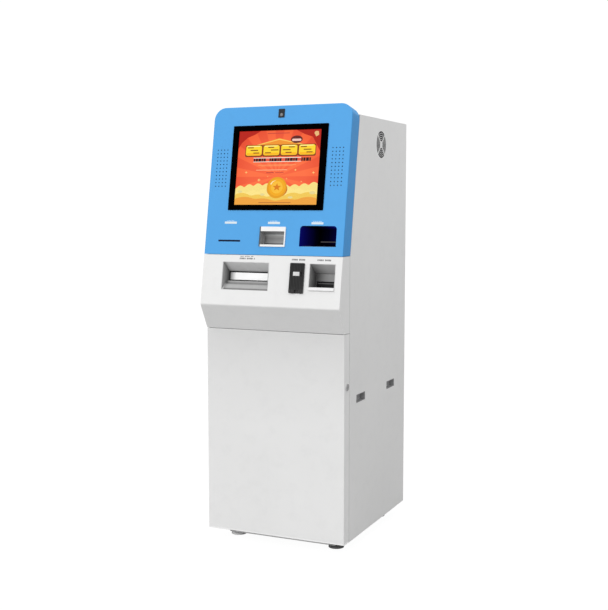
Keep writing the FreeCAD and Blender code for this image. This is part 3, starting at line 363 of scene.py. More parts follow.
def recess(name, rim, inner_stops, depth, shade_left, gloss=0.3, glow=0.0, band=None, left_wall=None,
           left_edge=None):
    """Moulded pocket: light rim on the face and painted shade inside it, the painted shade changing up the
    slope.

    inner_stops are (slope distance in metres, colour) of the painted shade inside; depth is where the rim
    colour ends;
    shade_left is (x of the left wall, width of its painted shade, darkest factor);
    band is (lowest, highest slope distance, nearest depth, colour) of a painted dark gap in the back wall;
    left_wall is (x that it ends at, front colour, back colour, depth of its back) of painted shade deepening
    inwards;
    left_edge is (x that it ends at, colour) of a strip of painted shade on the rim.
    """
    material, tree, shader = new_material(name)
    matt(shader, gloss)
    inwards = place(tree, -OUT, FACE_ORIGIN)
    up = place(tree, UP, FACE_ORIGIN)
    sideways = place(tree, X_AXIS, FACE_ORIGIN)
    low, high = inner_stops[0][0], inner_stops[-1][0]
    stops = [((s - low) / (high - low), colour) for s, colour in inner_stops]
    inner = ramp(tree, between(tree, up, low, high), stops)
    wall_x, wall_width, darkest = shade_left
    across = between(tree, sideways, wall_x, wall_x + wall_width)
    inner = multiply(tree, inner, ramp(tree, across, [(0.0, grey(darkest)), (1.0, grey(1.0))]))
    if band:
        band_low, band_high, band_depth, band_colour = band
        behind = past(tree, inwards, band_depth, BAND_EDGE)
        inside = math_node(tree, "MULTIPLY", within(tree, up, band_low, band_high), behind)
        inner = mix_colour(tree, inside, inner, band_colour)
    if left_wall:
        wall_end, front_tone, back_tone, wall_depth = left_wall
        fade = ramp(tree, between(tree, inwards, 0.0, wall_depth), [(0.0, front_tone), (1.0, back_tone)])
        inner = mix_colour(tree, short_of(tree, sideways, wall_end, WALL_EDGE), inner, fade)
    if left_edge:
        edge_end, edge_colour = left_edge
        rim = mix_colour(tree, short_of(tree, sideways, edge_end, WALL_EDGE), rim, edge_colour)
    fine = noise(tree, object_coords(tree), 1400.0, 2.0)
    flow = ramp(tree, noise(tree, object_coords(tree), 38.0), [(0.3, grey(0.93)), (0.75, grey(1.0))])
    tone = mix_colour(tree, past(tree, inwards, depth, RIM_EDGE), rim, inner)
    tone = multiply(tree, tone, flow)
    tree.links.new(tone, shader.inputs["Base Color"])
    tree.links.new(span(tree, fine, 0.42, 0.56), shader.inputs["Roughness"])
    # Painted light: where a glow is given, the tone also shines weakly.
    if glow:
        tree.links.new(tone, shader.inputs["Emission Color"])
        shader.inputs["Emission Strength"].default_value = glow
    bump(tree, shader, fine, 0.3, 0.00008)
    return material


def ribbed_material():
    """Dark moulding with close upright ribs, with a painted highlight on their crests broken up by noise."""
    rib_pitch = 0.0062
    face_low, face_high = -0.139, -0.027        # slope distances of the coin face's ends
    material, tree, shader = new_material("coin_face_moulding")
    matt(shader, 0.2)
    across = place(tree, X_AXIS, FACE_ORIGIN)
    wave = math_node(tree, "SINE", math_node(tree, "MULTIPLY", across, 2 * math.pi / rib_pitch))
    crest = between(tree, wave, -0.2, 0.9)
    streak_noise = noise(tree, object_coords(tree, (1, 1, 0.15)), 160.0, 3.0)
    # Painted highlight: the rib crests are lighter.
    tone = ramp(tree, math_node(tree, "MULTIPLY", crest, streak_noise), [(0.0, grey(0.009)), (0.6, grey(0.042))])
    # Painted shade: the face is lighter near its bottom and darker towards its top.
    height = between(tree, place(tree, UP, FACE_ORIGIN), face_low, face_high)
    shade = ramp(tree, height, [(0.0, grey(1.2)), (0.3, grey(0.75)), (1.0, grey(0.55))])
    tree.links.new(multiply(tree, tone, shade), shader.inputs["Base Color"])
    tree.links.new(span(tree, streak_noise, 0.4, 0.55), shader.inputs["Roughness"])
    bump(tree, shader, crest, 0.5, 0.0002)
    return material


def paper_material():
    """Thermal paper, with the faint rings of a wound roll."""
    material, tree, shader = new_material("thermal_paper")
    rings = tree.nodes.new("ShaderNodeTexWave")
    rings.wave_type = "RINGS"
    rings.rings_direction = "X"
    rings.inputs["Scale"].default_value = 260.0
    rings.inputs["Distortion"].default_value = 0.6
    tree.links.new(object_coords(tree), rings.inputs["Vector"])
    tone = ramp(tree, rings.outputs["Fac"], [(0.0, (0.74, 0.73, 0.7)), (1.0, (0.86, 0.86, 0.84))])
    tree.links.new(tone, shader.inputs["Base Color"])
    tree.links.new(span(tree, rings.outputs["Fac"], 0.6, 0.8), shader.inputs["Roughness"])
    return material


def hood_material():
    """Black scanner hood whose throat walls glow deep blue, painted light from the scanner's lamp, strongest
    on the left wall.
    """
    end_margin = 0.0026                         # between the hood's ends and the lamp's light
    lamp_reach = 0.085                          # depth over which the light falls off
    dark_below, lit_above = 0.05, 0.07          # slope distances
    side_wall, throat_back = 0.0055, 0.0865
    throat_low, throat_high = 0.032, 0.1125     # slope distances
    material, tree, shader = new_material("scanner_hood_moulding")
    matt(shader, 0.0)
    low, high = (Vector(v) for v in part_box("scanner_hood"))
    inwards = place(tree, -OUT, FACE_ORIGIN)
    up = place(tree, UP, FACE_ORIGIN)
    across = between(tree, place(tree, X_AXIS, low), end_margin, high.x - low.x - end_margin)
    glow = ramp(tree, across, [(0.0, grey(0.68)), (0.2, grey(0.08)), (0.32, grey(0.0)), (0.55, grey(0.1)),
                               (1.0, grey(0.95))])
    deep = ramp(tree, between(tree, inwards, 0.0, lamp_reach), [(0.0, grey(1.0)), (1.0, grey(0.55))])
    # Painted shade: low down the throat the painted glow fades, except on its left side.
    height = ramp(tree, between(tree, up, dark_below, lit_above), [(0.0, grey(0.1)), (1.0, grey(1.0))])
    leftmost = ramp(tree, across, [(0.3, grey(1.0)), (0.5, grey(0.0))])
    height = mix_colour(tree, leftmost, height, grey(1.0))
    glow = multiply(tree, multiply(tree, glow, deep), height)
    # The hood's outer faces stay black: only the throat inside them carries the painted light.
    throat_x = within(tree, place(tree, X_AXIS, FRAME_ORIGIN), low.x + side_wall, high.x - side_wall)
    throat = math_node(tree, "MULTIPLY", throat_x, within(tree, up, throat_low, throat_high))
    throat = math_node(tree, "MULTIPLY", throat, within(tree, inwards, -0.01, throat_back))
    fine = noise(tree, object_coords(tree), 900.0, 2.0)
    shade = ramp(tree, glow, [(0.0, (0.0002, 0.0003, 0.0004)), (0.3, (0.0016, 0.001, 0.03)),
                              (1.0, (0.004, 0.006, 0.2))])
    moulding = ramp(tree, fine, [(0.3, grey(0.008)), (0.7, grey(0.013))])
    tree.links.new(mix_colour(tree, throat, moulding, shade), shader.inputs["Base Color"])
    tree.links.new(mix_colour(tree, throat, grey(0.0), shade), shader.inputs["Emission Color"])
    shader.inputs["Emission Strength"].default_value = 0.75
    tree.links.new(span(tree, fine, 0.22, 0.34), shader.inputs["Roughness"])
    bump(tree, shader, fine, 0.2, 0.00005)
    return material


# Painted shade: the cash mouth is toned up its slope, a dark band paints the gaps round the shutter, and the
# left wall darkens inwards.
mouth_inside = recess(
    "cash_mouth_moulding", grey(0.6),
    [(-0.132, grey(0.18)), (-0.1295, grey(0.2)), (-0.1265, grey(0.36)), (-0.124, grey(0.43)),
     (-0.113, grey(0.42)), (-0.1105, grey(0.24)), (-0.1055, grey(0.24)), (-0.1, grey(0.38)),
     (-0.097, grey(0.43)), (-0.0555, grey(0.46)), (-0.0535, grey(0.6)), (-0.03, grey(0.76))],
    -0.002, (-0.201, 0.022, 0.45), band=(-0.0965, -0.0565, 0.0382, grey(0.02)),
    left_wall=(-0.1925, grey(0.45), grey(0.1), 0.037))
# Painted shade: the coin cup is dark inside its light lip, darker to the left, and its left wall darkens
# inwards.
cup_inside = recess(
    "coin_cup_moulding", grey(0.86),
    [(-0.118, grey(0.26)), (-0.1, grey(0.28)), (-0.07, grey(0.31)), (-0.0575, grey(0.34)),
     (-0.0545, grey(0.67)), (-0.03, grey(0.73))],
    0.0, (0.159, 0.06, 0.4), left_wall=(0.1605, grey(0.4), grey(0.1), 0.062))
# Painted shade: the receipt pocket is toned up its slope and darker to the left, with a strip of painted
# shade on the rim's left edge.
receipt_frame = recess(
    "receipt_frame_moulding", grey(0.88),
    [(0.036, grey(0.05)), (0.0385, grey(0.05)), (0.0425, (0.24, 0.24, 0.25)), (0.0505, grey(0.34)),
     (0.067, grey(0.25)), (0.0755, (0.37, 0.37, 0.36)), (0.0795, (0.56, 0.57, 0.57)), (0.09, grey(0.45))],
    0.0012, (-0.053, 0.08, 0.5), left_wall=(-0.0475, grey(0.42), grey(0.42), 0.03),
    left_edge=(-0.0503, (0.05, 0.075, 0.1)))
# Painted shade: two near-black bands across the flap stand for the shade in two slots, with a lighter bar
# between them.
flap_steel = recess(
    "coin_flap_steel", grey(0.2),
    [(-0.106, grey(0.01)), (-0.0955, grey(0.012)), (-0.0945, grey(0.16)), (-0.0925, grey(0.16)),
     (-0.0915, grey(0.01)), (-0.086, grey(0.01))],
    0.0, (0.159, 0.01, 0.5), gloss=0.2)
# Painted shade darkens the shutter's left end, and a weak glow brightens it as painted light.
shutter_white = recess(
    "shutter_moulding", grey(0.88), [(-0.09, grey(0.86)), (-0.06, grey(0.9))],
    0.0, (-0.195, 0.03, 0.16), glow=0.2)


def colour_input(material):
    """A material's tree, its shader's colour socket and the tone that feeds it."""
    tree = material.node_tree
    shader = next(node for node in tree.nodes if node.type == "BSDF_PRINCIPLED")
    socket = shader.inputs["Base Color"]
    return tree, socket, socket.links[0].from_socket


def fascia_paint(colour):
    """Blue powder coat with painted shade on the side returns, which are darker and a little less red."""
    face_edge, return_edge = 0.003, 0.001       # from the shell's side
    material = powder_coat("blue_powder_coat", colour, 0.5, 750.0, 0.0001, 0.1)
    tree, socket, tone = colour_input(material)
    sideways = math_node(tree, "ABSOLUTE", place(tree, X_AXIS, FRAME_ORIGIN))
    returns = between(tree, sideways, shell_high.x - face_edge, shell_high.x - return_edge)
    side_shade = ramp(tree, returns, [(0.0, grey(1.0)), (1.0, (0.7, 0.81, 0.86))])
    tree.links.new(multiply(tree, tone, side_shade), socket)
    return material


def door_paint(colour):
    """Cabinet powder coat; painted shade dulls the front under the console's overhang, and painted light
    makes it paler at its hem.
    """
    shade_drop = 0.36                            # how far down the painted shade reaches
    skin_front, skin_back = 0.001, 0.003        # depths between which the painted shade ends
    hem_end, hem_full = 0.007, 0.002            # heights above the door's lower edge
    material = powder_coat("door_powder_coat", colour)
    tree, socket, tone = colour_input(material)
    door_low, door_high = (Vector(v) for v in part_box("door_skin"))
    height = between(tree, place(tree, Z_AXIS, FRAME_ORIGIN), door_high.z - shade_drop, door_high.z)
    band = ramp(tree, height, [(0.0, grey(1.0)), (0.45, grey(0.96)), (1.0, grey(0.85))])
    back = between(tree, place(tree, Y_AXIS, door_low), skin_front, skin_back)
    band = mix_colour(tree, back, band, grey(1.0))
    # Painted light: the hem is made paler.
    hem = between(tree, place(tree, Z_AXIS, door_low), hem_end, hem_full)
    band = mix_colour(tree, hem, band, grey(1.2))
    tree.links.new(multiply(tree, tone, band), socket)
    return material


def vented_paint(colour):
    """Cabinet powder coat; the cut edges inside the round vent's slots are painted dark as painted shade."""
    vent_end, vent_full = 0.056, 0.054          # radii
    outer_skin, cut_depth = -0.0001, -0.0003    # from the panel's outer face
    material = powder_coat("vented_powder_coat", colour)
    tree, socket, tone = colour_input(material)
    fan_low, fan_high = (Vector(v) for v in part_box("fan_frame"))
    panel_high = Vector(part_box("right_side_panel")[1])
    squares = []
    for direction in (Y_AXIS, Z_AXIS):
        offset = place(tree, direction, (fan_low + fan_high) / 2)
        squares.append(math_node(tree, "MULTIPLY", offset, offset))
    radius = math_node(tree, "SQRT", math_node(tree, "ADD", squares[0], squares[1]))
    near = between(tree, radius, vent_end, vent_full)
    cut = between(tree, place(tree, X_AXIS, panel_high), outer_skin, cut_depth)
    slot_shade = math_node(tree, "MULTIPLY", near, cut)
    tree.links.new(mix_colour(tree, slot_shade, tone, grey(0.05)), socket)
    return material


def pad_rubber():
    """Rubber pads, the ones on the left made much paler with painted light."""
    right_x, left_x = 0.05, -0.15
    material = rubber("foot_rubber", grey(0.13))
    tree, socket, tone = colour_input(material)
    left_light = between(tree, place(tree, X_AXIS, FRAME_ORIGIN), right_x, left_x)
    tree.links.new(mix_colour(tree, left_light, tone, grey(0.85)), socket)
    return material


node_materials = {
    "left_side_panel": paint, "top_panel": paint, "back_panel": paint, "console_shell": paint,
    "right_side_panel": vented_paint(WHITE), "door_skin": door_paint(scaled(WHITE, 1.03)),
    "fascia_shell": fascia_paint(BLUE), "base_frame": frame_paint, "foot_pads": pad_rubber(),
    "back_panel_screws": zinc, "foot_studs": zinc, "hinge_brackets": zinc, "lock_strikers": zinc,
    "lock_cam": zinc, "fascia_latch": zinc, "lock_barrel": chrome, "lock_plug": chrome,
    "base_tray": sheet_steel, "front_frame": sheet_steel, "equipment_shelf": sheet_steel,
    "coin_chute": sheet_steel, "coin_box": sheet_steel, "note_dispenser": sheet_steel,
    "note_transport": sheet_steel, "power_supply": sheet_steel, "door_stiffener": sheet_steel,
    "hand_hold_cups": grey_plastic, "printer_lid": grey_plastic,
    "cash_mouth": mouth_inside, "cash_shutter": shutter_white, "coin_face": ribbed_material(),
    "coin_return_button": button_white, "coin_cup": cup_inside, "coin_flap": flap_steel,
    "presenter_roller_lower": roller_rubber, "presenter_roller_upper": roller_rubber,
    "coin_acceptor": black_plastic, "coin_hopper": black_plastic, "fan_frame": black_plastic,
    "fan_rotor": black_plastic, "power_inlet": black_plastic, "power_rocker": black_plastic,
    "speakers": black_plastic, "printer_chassis": black_plastic,
    "control_computer": black_metal, "display_case": black_metal,
    "display_bezel": bezel_black, "display_panel": bezel_black,
    "camera_housing": camera_grey, "camera_lens": lens_glass, "card_reader": slot_blue,
    "printer_bezel": receipt_frame, "paper_roll": paper_material(), "scanner_hood": hood_material(),
    "scanner_glass": scan_glass, "guide_lights": lamp_white,
    "cassette_1": cassette_plastic, "cassette_2": cassette_plastic,
    "cassette_3": cassette_plastic, "cassette_4": cassette_plastic,
}

# =====================================================================
# placing artwork on the sloping face
# =====================================================================


def face_matrix(out):
    """Local x stays x, local y runs up the slope, local z points out of the face."""
    matrix = Matrix.Identity(4)
    for row in range(3):
        matrix[row][0] = X_AXIS[row]
        matrix[row][1] = UP[row]
        matrix[row][2] = OUT[row]
        matrix[row][3] = (FACE_ORIGIN + OUT * out)[row]
    return matrix


def front_matrix(y):
    """Local x stays x, local y points up and local z points out of the cabinet's front."""
    return Matrix(((1, 0, 0, 0), (0, 0, -1, y), (0, 1, 0, 0), (0, 0, 0, 1)))


def flat_shapes(name, outlines, material, body, out, thickness=0.0, upright=False):
    """One object of flat outlines, each a list of (x, up) points in metres.

    They lie on the sloping face, out being the distance in front of it, or on an upright
    plane at y = out.
    """
    mesh = bpy.data.meshes.new(name)
    built = bmesh.new()
    for outline in outlines:
        corners = [built.verts.new((x, y, 0.0)) for x, y in outline]
        face = built.faces.new(corners)
        face.normal_update()
        if face.normal.z < 0:
            face.normal_flip()
    if thickness:
        made = bmesh.ops.extrude_face_region(built, geom=built.faces[:])
        moved = [v for v in made["geom"] if isinstance(v, bmesh.types.BMVert)]
        bmesh.ops.translate(built, vec=(0, 0, thickness), verts=moved)
        bmesh.ops.recalc_face_normals(built, faces=built.faces[:])
    bmesh.ops.triangulate(built, faces=built.faces[:])
    built.to_mesh(mesh)
    built.free()
    piece = bpy.data.objects.new(name, mesh)
    bpy.context.scene.collection.objects.link(piece)
    piece.matrix_world = front_matrix(out) if upright else face_matrix(out)
    mesh.materials.append(material)
    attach(piece, body)


def oblong(x0, x1, y0, y1, radius=0.0, steps=5):
    """Rectangle outline, with rounded corners if a radius is given."""
    if radius <= 0:
        return [(x0, y0), (x1, y0), (x1, y1), (x0, y1)]
    straight = 1e-5         # least half length left between two corners
    radius = min(radius, (x1 - x0) / 2 - straight, (y1 - y0) / 2 - straight)
    points = []
    corners = ((x1 - radius, y0 + radius, -90), (x1 - radius, y1 - radius, 0),
               (x0 + radius, y1 - radius, 90), (x0 + radius, y0 + radius, 180))
    for cx, cy, start in corners:
        for step in range(steps + 1):
            angle = math.radians(start + 90 * step / steps)
            points.append((cx + radius * math.cos(angle), cy + radius * math.sin(angle)))
    return points


def disc(cx, cy, radius, steps=40, squash=1.0):
    """Round outline; squash is its height over its width."""
    angles = [2 * math.pi * i / steps for i in range(steps)]
    return [(cx + radius * math.cos(a), cy + radius * squash * math.sin(a)) for a in angles]


def star(cx, cy, radius, waist=0.32, points=4, turn=90.0):
    """Pointed outline; waist is its inner radius over its outer one."""
    outline = []
    for i in range(points * 2):
        r = radius if i % 2 == 0 else radius * waist
        angle = math.radians(turn + 180.0 * i / points)
        outline.append((cx + r * math.cos(angle), cy + r * math.sin(angle)))
    return outline


# ---- the picture on the display: a generic exchange advertisement with no lettering ----
SCREEN_LEFT, SCREEN_RIGHT = -0.1735, 0.1685
SCREEN_LOW, SCREEN_HIGH = 0.1895, 0.473
SCREEN_W = SCREEN_RIGHT - SCREEN_LEFT
SCREEN_H = SCREEN_HIGH - SCREEN_LOW
ART = -0.0007           # just in front of the display panel, behind the bezel's front


def on_screen(u, v):
    """Point at u across (0..1 left to right) and v down (0..1) the picture."""
    return SCREEN_LEFT + u * SCREEN_W, SCREEN_HIGH - v * SCREEN_H


def art(name, outlines, colour, layer):
    """One colour of the picture; outlines are in (u, v), and a higher layer lies in front."""
    placed = [[on_screen(u, v) for u, v in outline] for outline in outlines]
    flat_shapes("screen_" + name, placed, lit("glow_" + name, colour, 1.0, 0.05), "fascia",
                ART + LIFT * layer)


def sunburst_material():
    """Warm radial rays spreading from the middle of the picture."""
    rays, ray_contrast = 15.0, 3.0
    reach = 4.4             # one over the distance at which the colours end, in metres
    material, tree, shader = new_material("screen_sunburst")
    coords = tree.nodes.new("ShaderNodeTexCoord")
    parts = tree.nodes.new("ShaderNodeSeparateXYZ")
    tree.links.new(coords.outputs["Object"], parts.inputs[0])
    cx, cy = on_screen(0.5, 0.62)
    dx = math_node(tree, "SUBTRACT", parts.outputs["X"], cx)
    dy = math_node(tree, "SUBTRACT", parts.outputs["Y"], cy)
    angle = math_node(tree, "ARCTAN2", dy, dx)
    wave = math_node(tree, "SINE", math_node(tree, "MULTIPLY", angle, rays))
    ray = math_node(tree, "MULTIPLY_ADD", wave, ray_contrast, clamp=True)
    ray.node.inputs[2].default_value = 0.5
    squared = math_node(tree, "ADD", math_node(tree, "MULTIPLY", dx, dx), math_node(tree, "MULTIPLY", dy, dy))
    distance = math_node(tree, "MULTIPLY", math_node(tree, "SQRT", squared), reach, clamp=True)
    base = ramp(tree, distance, [(0.0, (0.93, 0.135, 0.048)), (0.5, (0.88, 0.115, 0.045)),
                                 (1.0, (0.74, 0.06, 0.02))])
    bright = ramp(tree, distance, [(0.0, (0.97, 0.17, 0.055)), (0.5, (0.96, 0.16, 0.055)),
                                   (1.0, (0.86, 0.09, 0.025))])
    self_lit(tree, shader, mix_colour(tree, ray, base, bright))
    tree.links.new(span(tree, distance, 0.2, 0.26), shader.inputs["Roughness"])
    return material


def hill_outline(swell, crest, bumps, lean=0.0):
    """A scalloped bank whose top edge is a row of round bumps on a slow wave."""
    bump_steps = 8
    wave_height, wave_rate = 0.018, 7.1
    outline = [(1.0, 1.0), (1.0, crest + lean)]
    for i in range(bumps - 1, -1, -1):
        left, right = i / bumps, (i + 1) / bumps
        for step in range(bump_steps):
            u = right - (right - left) * (step + 0.5) / bump_steps
            rise = math.sin(math.pi * (u - left) / (right - left))
            wave = wave_height * math.sin(u * wave_rate + bumps)
            outline.append((u, crest + lean * u - swell * rise + wave))
    outline += [(0.0, crest), (0.0, 1.0)]
    return outline


flat_shapes("screen_sunburst_field", [oblong(SCREEN_LEFT, SCREEN_RIGHT, SCREEN_LOW, SCREEN_HIGH)],
            sunburst_material(), "fascia", ART)
art("curtain_left", [[(0, 0), (0.27, 0), (0.2, 0.05), (0.11, 0.09), (0.04, 0.16), (0, 0.24)]],
    (0.46, 0.014, 0.006), 1)
art("curtain_right", [[(0.7, 0), (1, 0), (1, 0.3), (0.95, 0.2), (0.9, 0.1), (0.8, 0.06)]],
    (0.46, 0.016, 0.008), 1)
art("header_line", [oblong(0.35, 0.62, 0.035, 0.045)], (0.55, 0.06, 0.04), 2)
art("badge", [disc(0.942, 0.05, 0.026, 24), [(0.918, 0.05), (0.965, 0.025), (0.972, 0.075), (0.938, 0.098)]],
    (0.8, 0.48, 0.2), 2)
art("roof_glow", [[(0.2, 0.2), (0.34, 0.155), (0.5, 0.105), (0.64, 0.15), (0.82, 0.2)]], (0.86, 0.3, 0.03), 2)
art("roof_line", [[(0.22, 0.193), (0.5, 0.115), (0.8, 0.193), (0.8, 0.203), (0.5, 0.128), (0.22, 0.203)]],
    (0.95, 0.6, 0.12), 3)
art("tab_back", [disc(0.71, 0.128, 0.07, 32, 0.72)], (0.12, 0.018, 0.015), 4)
art("tab_band", [oblong(0.655, 0.765, 0.12, 0.15, 0.012)], (0.88, 0.58, 0.5), 5)
art("title_glow", [oblong(0.11, 0.91, 0.195, 0.345, 0.05)], (0.42, 0.06, 0.01), 4)

TITLE = (0.98, 0.66, 0.03)
TITLE_DARK = (0.2, 0.04, 0.01)
TILE_LEFTS = (0.1, 0.315, 0.53, 0.745)
TILE_WIDTH = 0.195
title_tiles = []
title_shadows = []
title_cuts = []
for index, left in enumerate(TILE_LEFTS):
    title_shadows.append(oblong(left - 0.008, left + TILE_WIDTH + 0.008, 0.192, 0.352, 0.02))
    title_tiles.append(oblong(left, left + TILE_WIDTH, 0.2, 0.335, 0.025))
    for row in range(3):
        top = 0.222 + 0.036 * row
        start = left + 0.02 + 0.035 * ((index + row) % 3)
        end = start + 0.075 + 0.02 * ((index * 2 + row) % 2)
        title_cuts.append(oblong(start, end, top, top + 0.013, 0.006))
art("title_shadows", title_shadows, TITLE_DARK, 5)
art("title_tiles", title_tiles, TITLE, 6)
art("title_cuts", title_cuts, TITLE_DARK, 8)
art("title_base", [oblong(x + 0.006, x + 0.189, 0.3, 0.33, 0.02) for x in TILE_LEFTS],
    (0.96, 0.48, 0.015), 7)
art("title_shine", [oblong(x + 0.012, x + 0.17, 0.206, 0.215, 0.004) for x in TILE_LEFTS],
    (1.0, 0.92, 0.4), 9)

strip_marks = []
position = 0.205
for index in range(22):
    width = 0.018 + 0.008 * ((index * 7) % 3)
    if index % 6 != 5:
        strip_marks.append(oblong(position, position + width, 0.372, 0.418, 0.004))
    position += width + 0.006
art("strip", [oblong(0.195, 0.785, 0.362, 0.428, 0.01)], (0.75, 0.1, 0.06), 3)
art("strip_marks", strip_marks, (0.025, 0.008, 0.008), 5)
art("strip_light", [oblong(0.2, 0.78, 0.365, 0.374, 0.002), oblong(0.2, 0.78, 0.417, 0.425, 0.002)],
    (1.0, 0.85, 0.72), 6)
art("line_one", [oblong(0.26, 0.72, 0.462, 0.468, 0.002), oblong(0.3, 0.68, 0.476, 0.48, 0.002)],
    (0.95, 0.42, 0.16), 3)
art("line_two", [oblong(0.24, 0.62, 0.528, 0.536, 0.003)], (0.98, 0.5, 0.28), 3)
art("line_three", [oblong(0.37, 0.46, 0.562, 0.574, 0.003), oblong(0.48, 0.58, 0.564, 0.572, 0.003)],
    (0.5, 0.05, 0.04), 3)
sparkles = [(0.12, 0.56, 0.02), (0.285, 0.665, 0.024), (0.72, 0.535, 0.018), (0.935, 0.575, 0.02),
            (0.2, 0.74, 0.01), (0.8, 0.69, 0.012), (0.39, 0.62, 0.009), (0.62, 0.65, 0.011)]
art("sparkles", [star(u, v, r) for u, v, r in sparkles], (0.98, 0.6, 0.2), 3)
art("bank_back", [hill_outline(0.035, 0.776, 9, -0.045)], (0.91, 0.73, 0.23), 4)
art("bank_middle", [hill_outline(0.03, 0.82, 7, -0.01)], (0.95, 0.76, 0.25), 5)
art("bank_front", [hill_outline(0.028, 0.875, 5)], (0.86, 0.57, 0.095), 6)
art("bank_low", [hill_outline(0.022, 0.93, 4)], (0.84, 0.36, 0.05), 7)
tufts = [(0.06, 0.82, 0.03, 0.6), (0.94, 0.84, 0.035, 0.6), (0.34, 0.86, 0.028, 0.6), (0.68, 0.9, 0.03, 0.5)]
art("bank_tufts", [disc(u, v, r, 20, squash) for u, v, r, squash in tufts], (0.78, 0.66, 0.28), 8)
art("footer_line", [oblong(0.3, 0.69, 0.965, 0.975, 0.003)], (0.45, 0.14, 0.03), 9)
art("coin_shadow", [disc(0.515, 0.79, 0.125, 40, 0.9)], (0.55, 0.15, 0.02), 8)
art("coin_rim", [disc(0.51, 0.77, 0.12, 48, 1.18)], (0.78, 0.34, 0.015), 9)
art("coin_face_disc", [disc(0.512, 0.765, 0.098, 48, 1.18)], (0.88, 0.4, 0.015), 10)
art("coin_ring", [disc(0.512, 0.765, 0.07, 40, 1.18)], (0.92, 0.5, 0.04), 11)
art("coin_mark", [star(0.512, 0.765, 0.055, 0.42, 5, -90.0)], (0.7, 0.2, 0.01), 12)
art("coin_glint", [[(0.43, 0.72), (0.455, 0.685), (0.5, 0.668), (0.46, 0.695), (0.44, 0.73)]],
    (1.0, 0.85, 0.5), 11)

# ---- the scanner's paper stop: a thin strip across the back of the hood that glows faintly, a painted reflection of the glass's edge ----
STOP_DEPTH, STOP_THICKNESS = 0.0845, 0.003
flat_shapes("scanner_paper_stop", [oblong(0.16, 0.252, 0.0622, 0.0662, 0.0006, 3)],
            lit("paper_stop_painted_reflection", (0.075, 0.068, 0.068), 0.6), "fascia", -STOP_DEPTH, STOP_THICKNESS)

# ---- small printed legends: plain dashes stand in for wording ----
legend_ink = ink("legend_ink_grey", (0.14, 0.14, 0.145))
legend_pale = ink("legend_ink_pale", (0.5, 0.68, 0.9))
INK_HEIGHT = 0.00008    # how far the ink lies in front of the face


def dashes(left, right, low, high, count, phase=0):
    """A row of short uneven dashes between two ends, with a gap at every seventh place."""
    marks = []
    pitch = (right - left) / count
    for i in range(count):
        share = 0.62 + 0.2 * (((i + phase) * 5) % 4) / 3
        start = left + i * pitch
        if (i + phase) % 7 != 6:
            marks.append(oblong(start, start + pitch * share, low, high, 0.0004, 2))
    return marks


for name, left, right in (("left", -0.197, -0.166), ("centre", -0.016, 0.016), ("right", 0.16, 0.196)):
    flat_shapes("legend_" + name, dashes(left, right, 0.1275, 0.1298, 5), legend_pale, "fascia", INK_HEIGHT)
# (name, left end, right end, number of places)
console_rows = (("cash", -0.132, -0.068, 15), ("coin", 0.085, 0.14, 13), ("cup", 0.188, 0.243, 13))
for name, left, right, count in console_rows:
    marks = dashes(left, right, -0.0172, -0.0112, count)
    if name == "cash":
        marks += dashes(left + 0.002, right - 0.006, -0.0075, -0.0045, count, 2)
    flat_shapes("legend_" + name, marks, legend_ink, "cabinet", INK_HEIGHT)

# ---- what an open door shows: cards, locks, screws and sockets on the equipment ----
card_stock = ink("card_stock", (0.72, 0.71, 0.66))
status_green = lit("status_green", (0.03, 0.6, 0.12), 0.8)
status_amber = lit("status_amber", (0.9, 0.32, 0.02), 0.8)
SUNK = 0.0002           # most raised details start this far inside the face that carries them
RAISED = 0.0012         # thickness of the cassettes' ribs and lamps, and of screw heads
HAIR = 0.0001           # least gap or overlap between faces that lie close together
CARD_HEIGHT, CARD_CORNER = 0.024, 0.002


def screw_heads(name, centres, body, out, upright=True):
    """Pan heads with their cross slots: upright ones face the front, those on the fascia the back."""
    heads = [disc(x, z, 0.0035, 16) for x, z in centres]
    slots = [star(x, z, 0.0022, 0.3) for x, z in centres]
    flat_shapes(name + "_heads", heads, zinc, body, out, RAISED, upright=upright)
    slot_out = out - RAISED - HAIR if upright else out - HAIR
    flat_shapes(name + "_slots", slots, black_plastic, body, slot_out, upright=upright)


def key_lock(name, x, z, body, front):
    """Cam lock: a turned bezel round a barrel with its key slit."""
    bezel_thickness, barrel_thickness = 0.0014, 0.0007
    barrel_front = front - 0.0011
    slit = oblong(x - 0.0007, x + 0.0007, z - 0.004, z + 0.004)
    flat_shapes(name + "_bezel", [disc(x, z, 0.009, 32)], chrome, body, front + SUNK, bezel_thickness,
                upright=True)
    flat_shapes(name + "_barrel", [disc(x, z, 0.0062, 28)], zinc, body, barrel_front, barrel_thickness,
                upright=True)
    flat_shapes(name + "_slit", [slit], black_plastic, body, barrel_front - barrel_thickness - HAIR,
                upright=True)


def label_card(name, left, foot, width, body, front):
    """Blank card on an upright face."""
    card = oblong(left, left + width, foot, foot + CARD_HEIGHT, CARD_CORNER)
    flat_shapes(name, [card], card_stock, body, front + HAIR, 0.0005, upright=True)


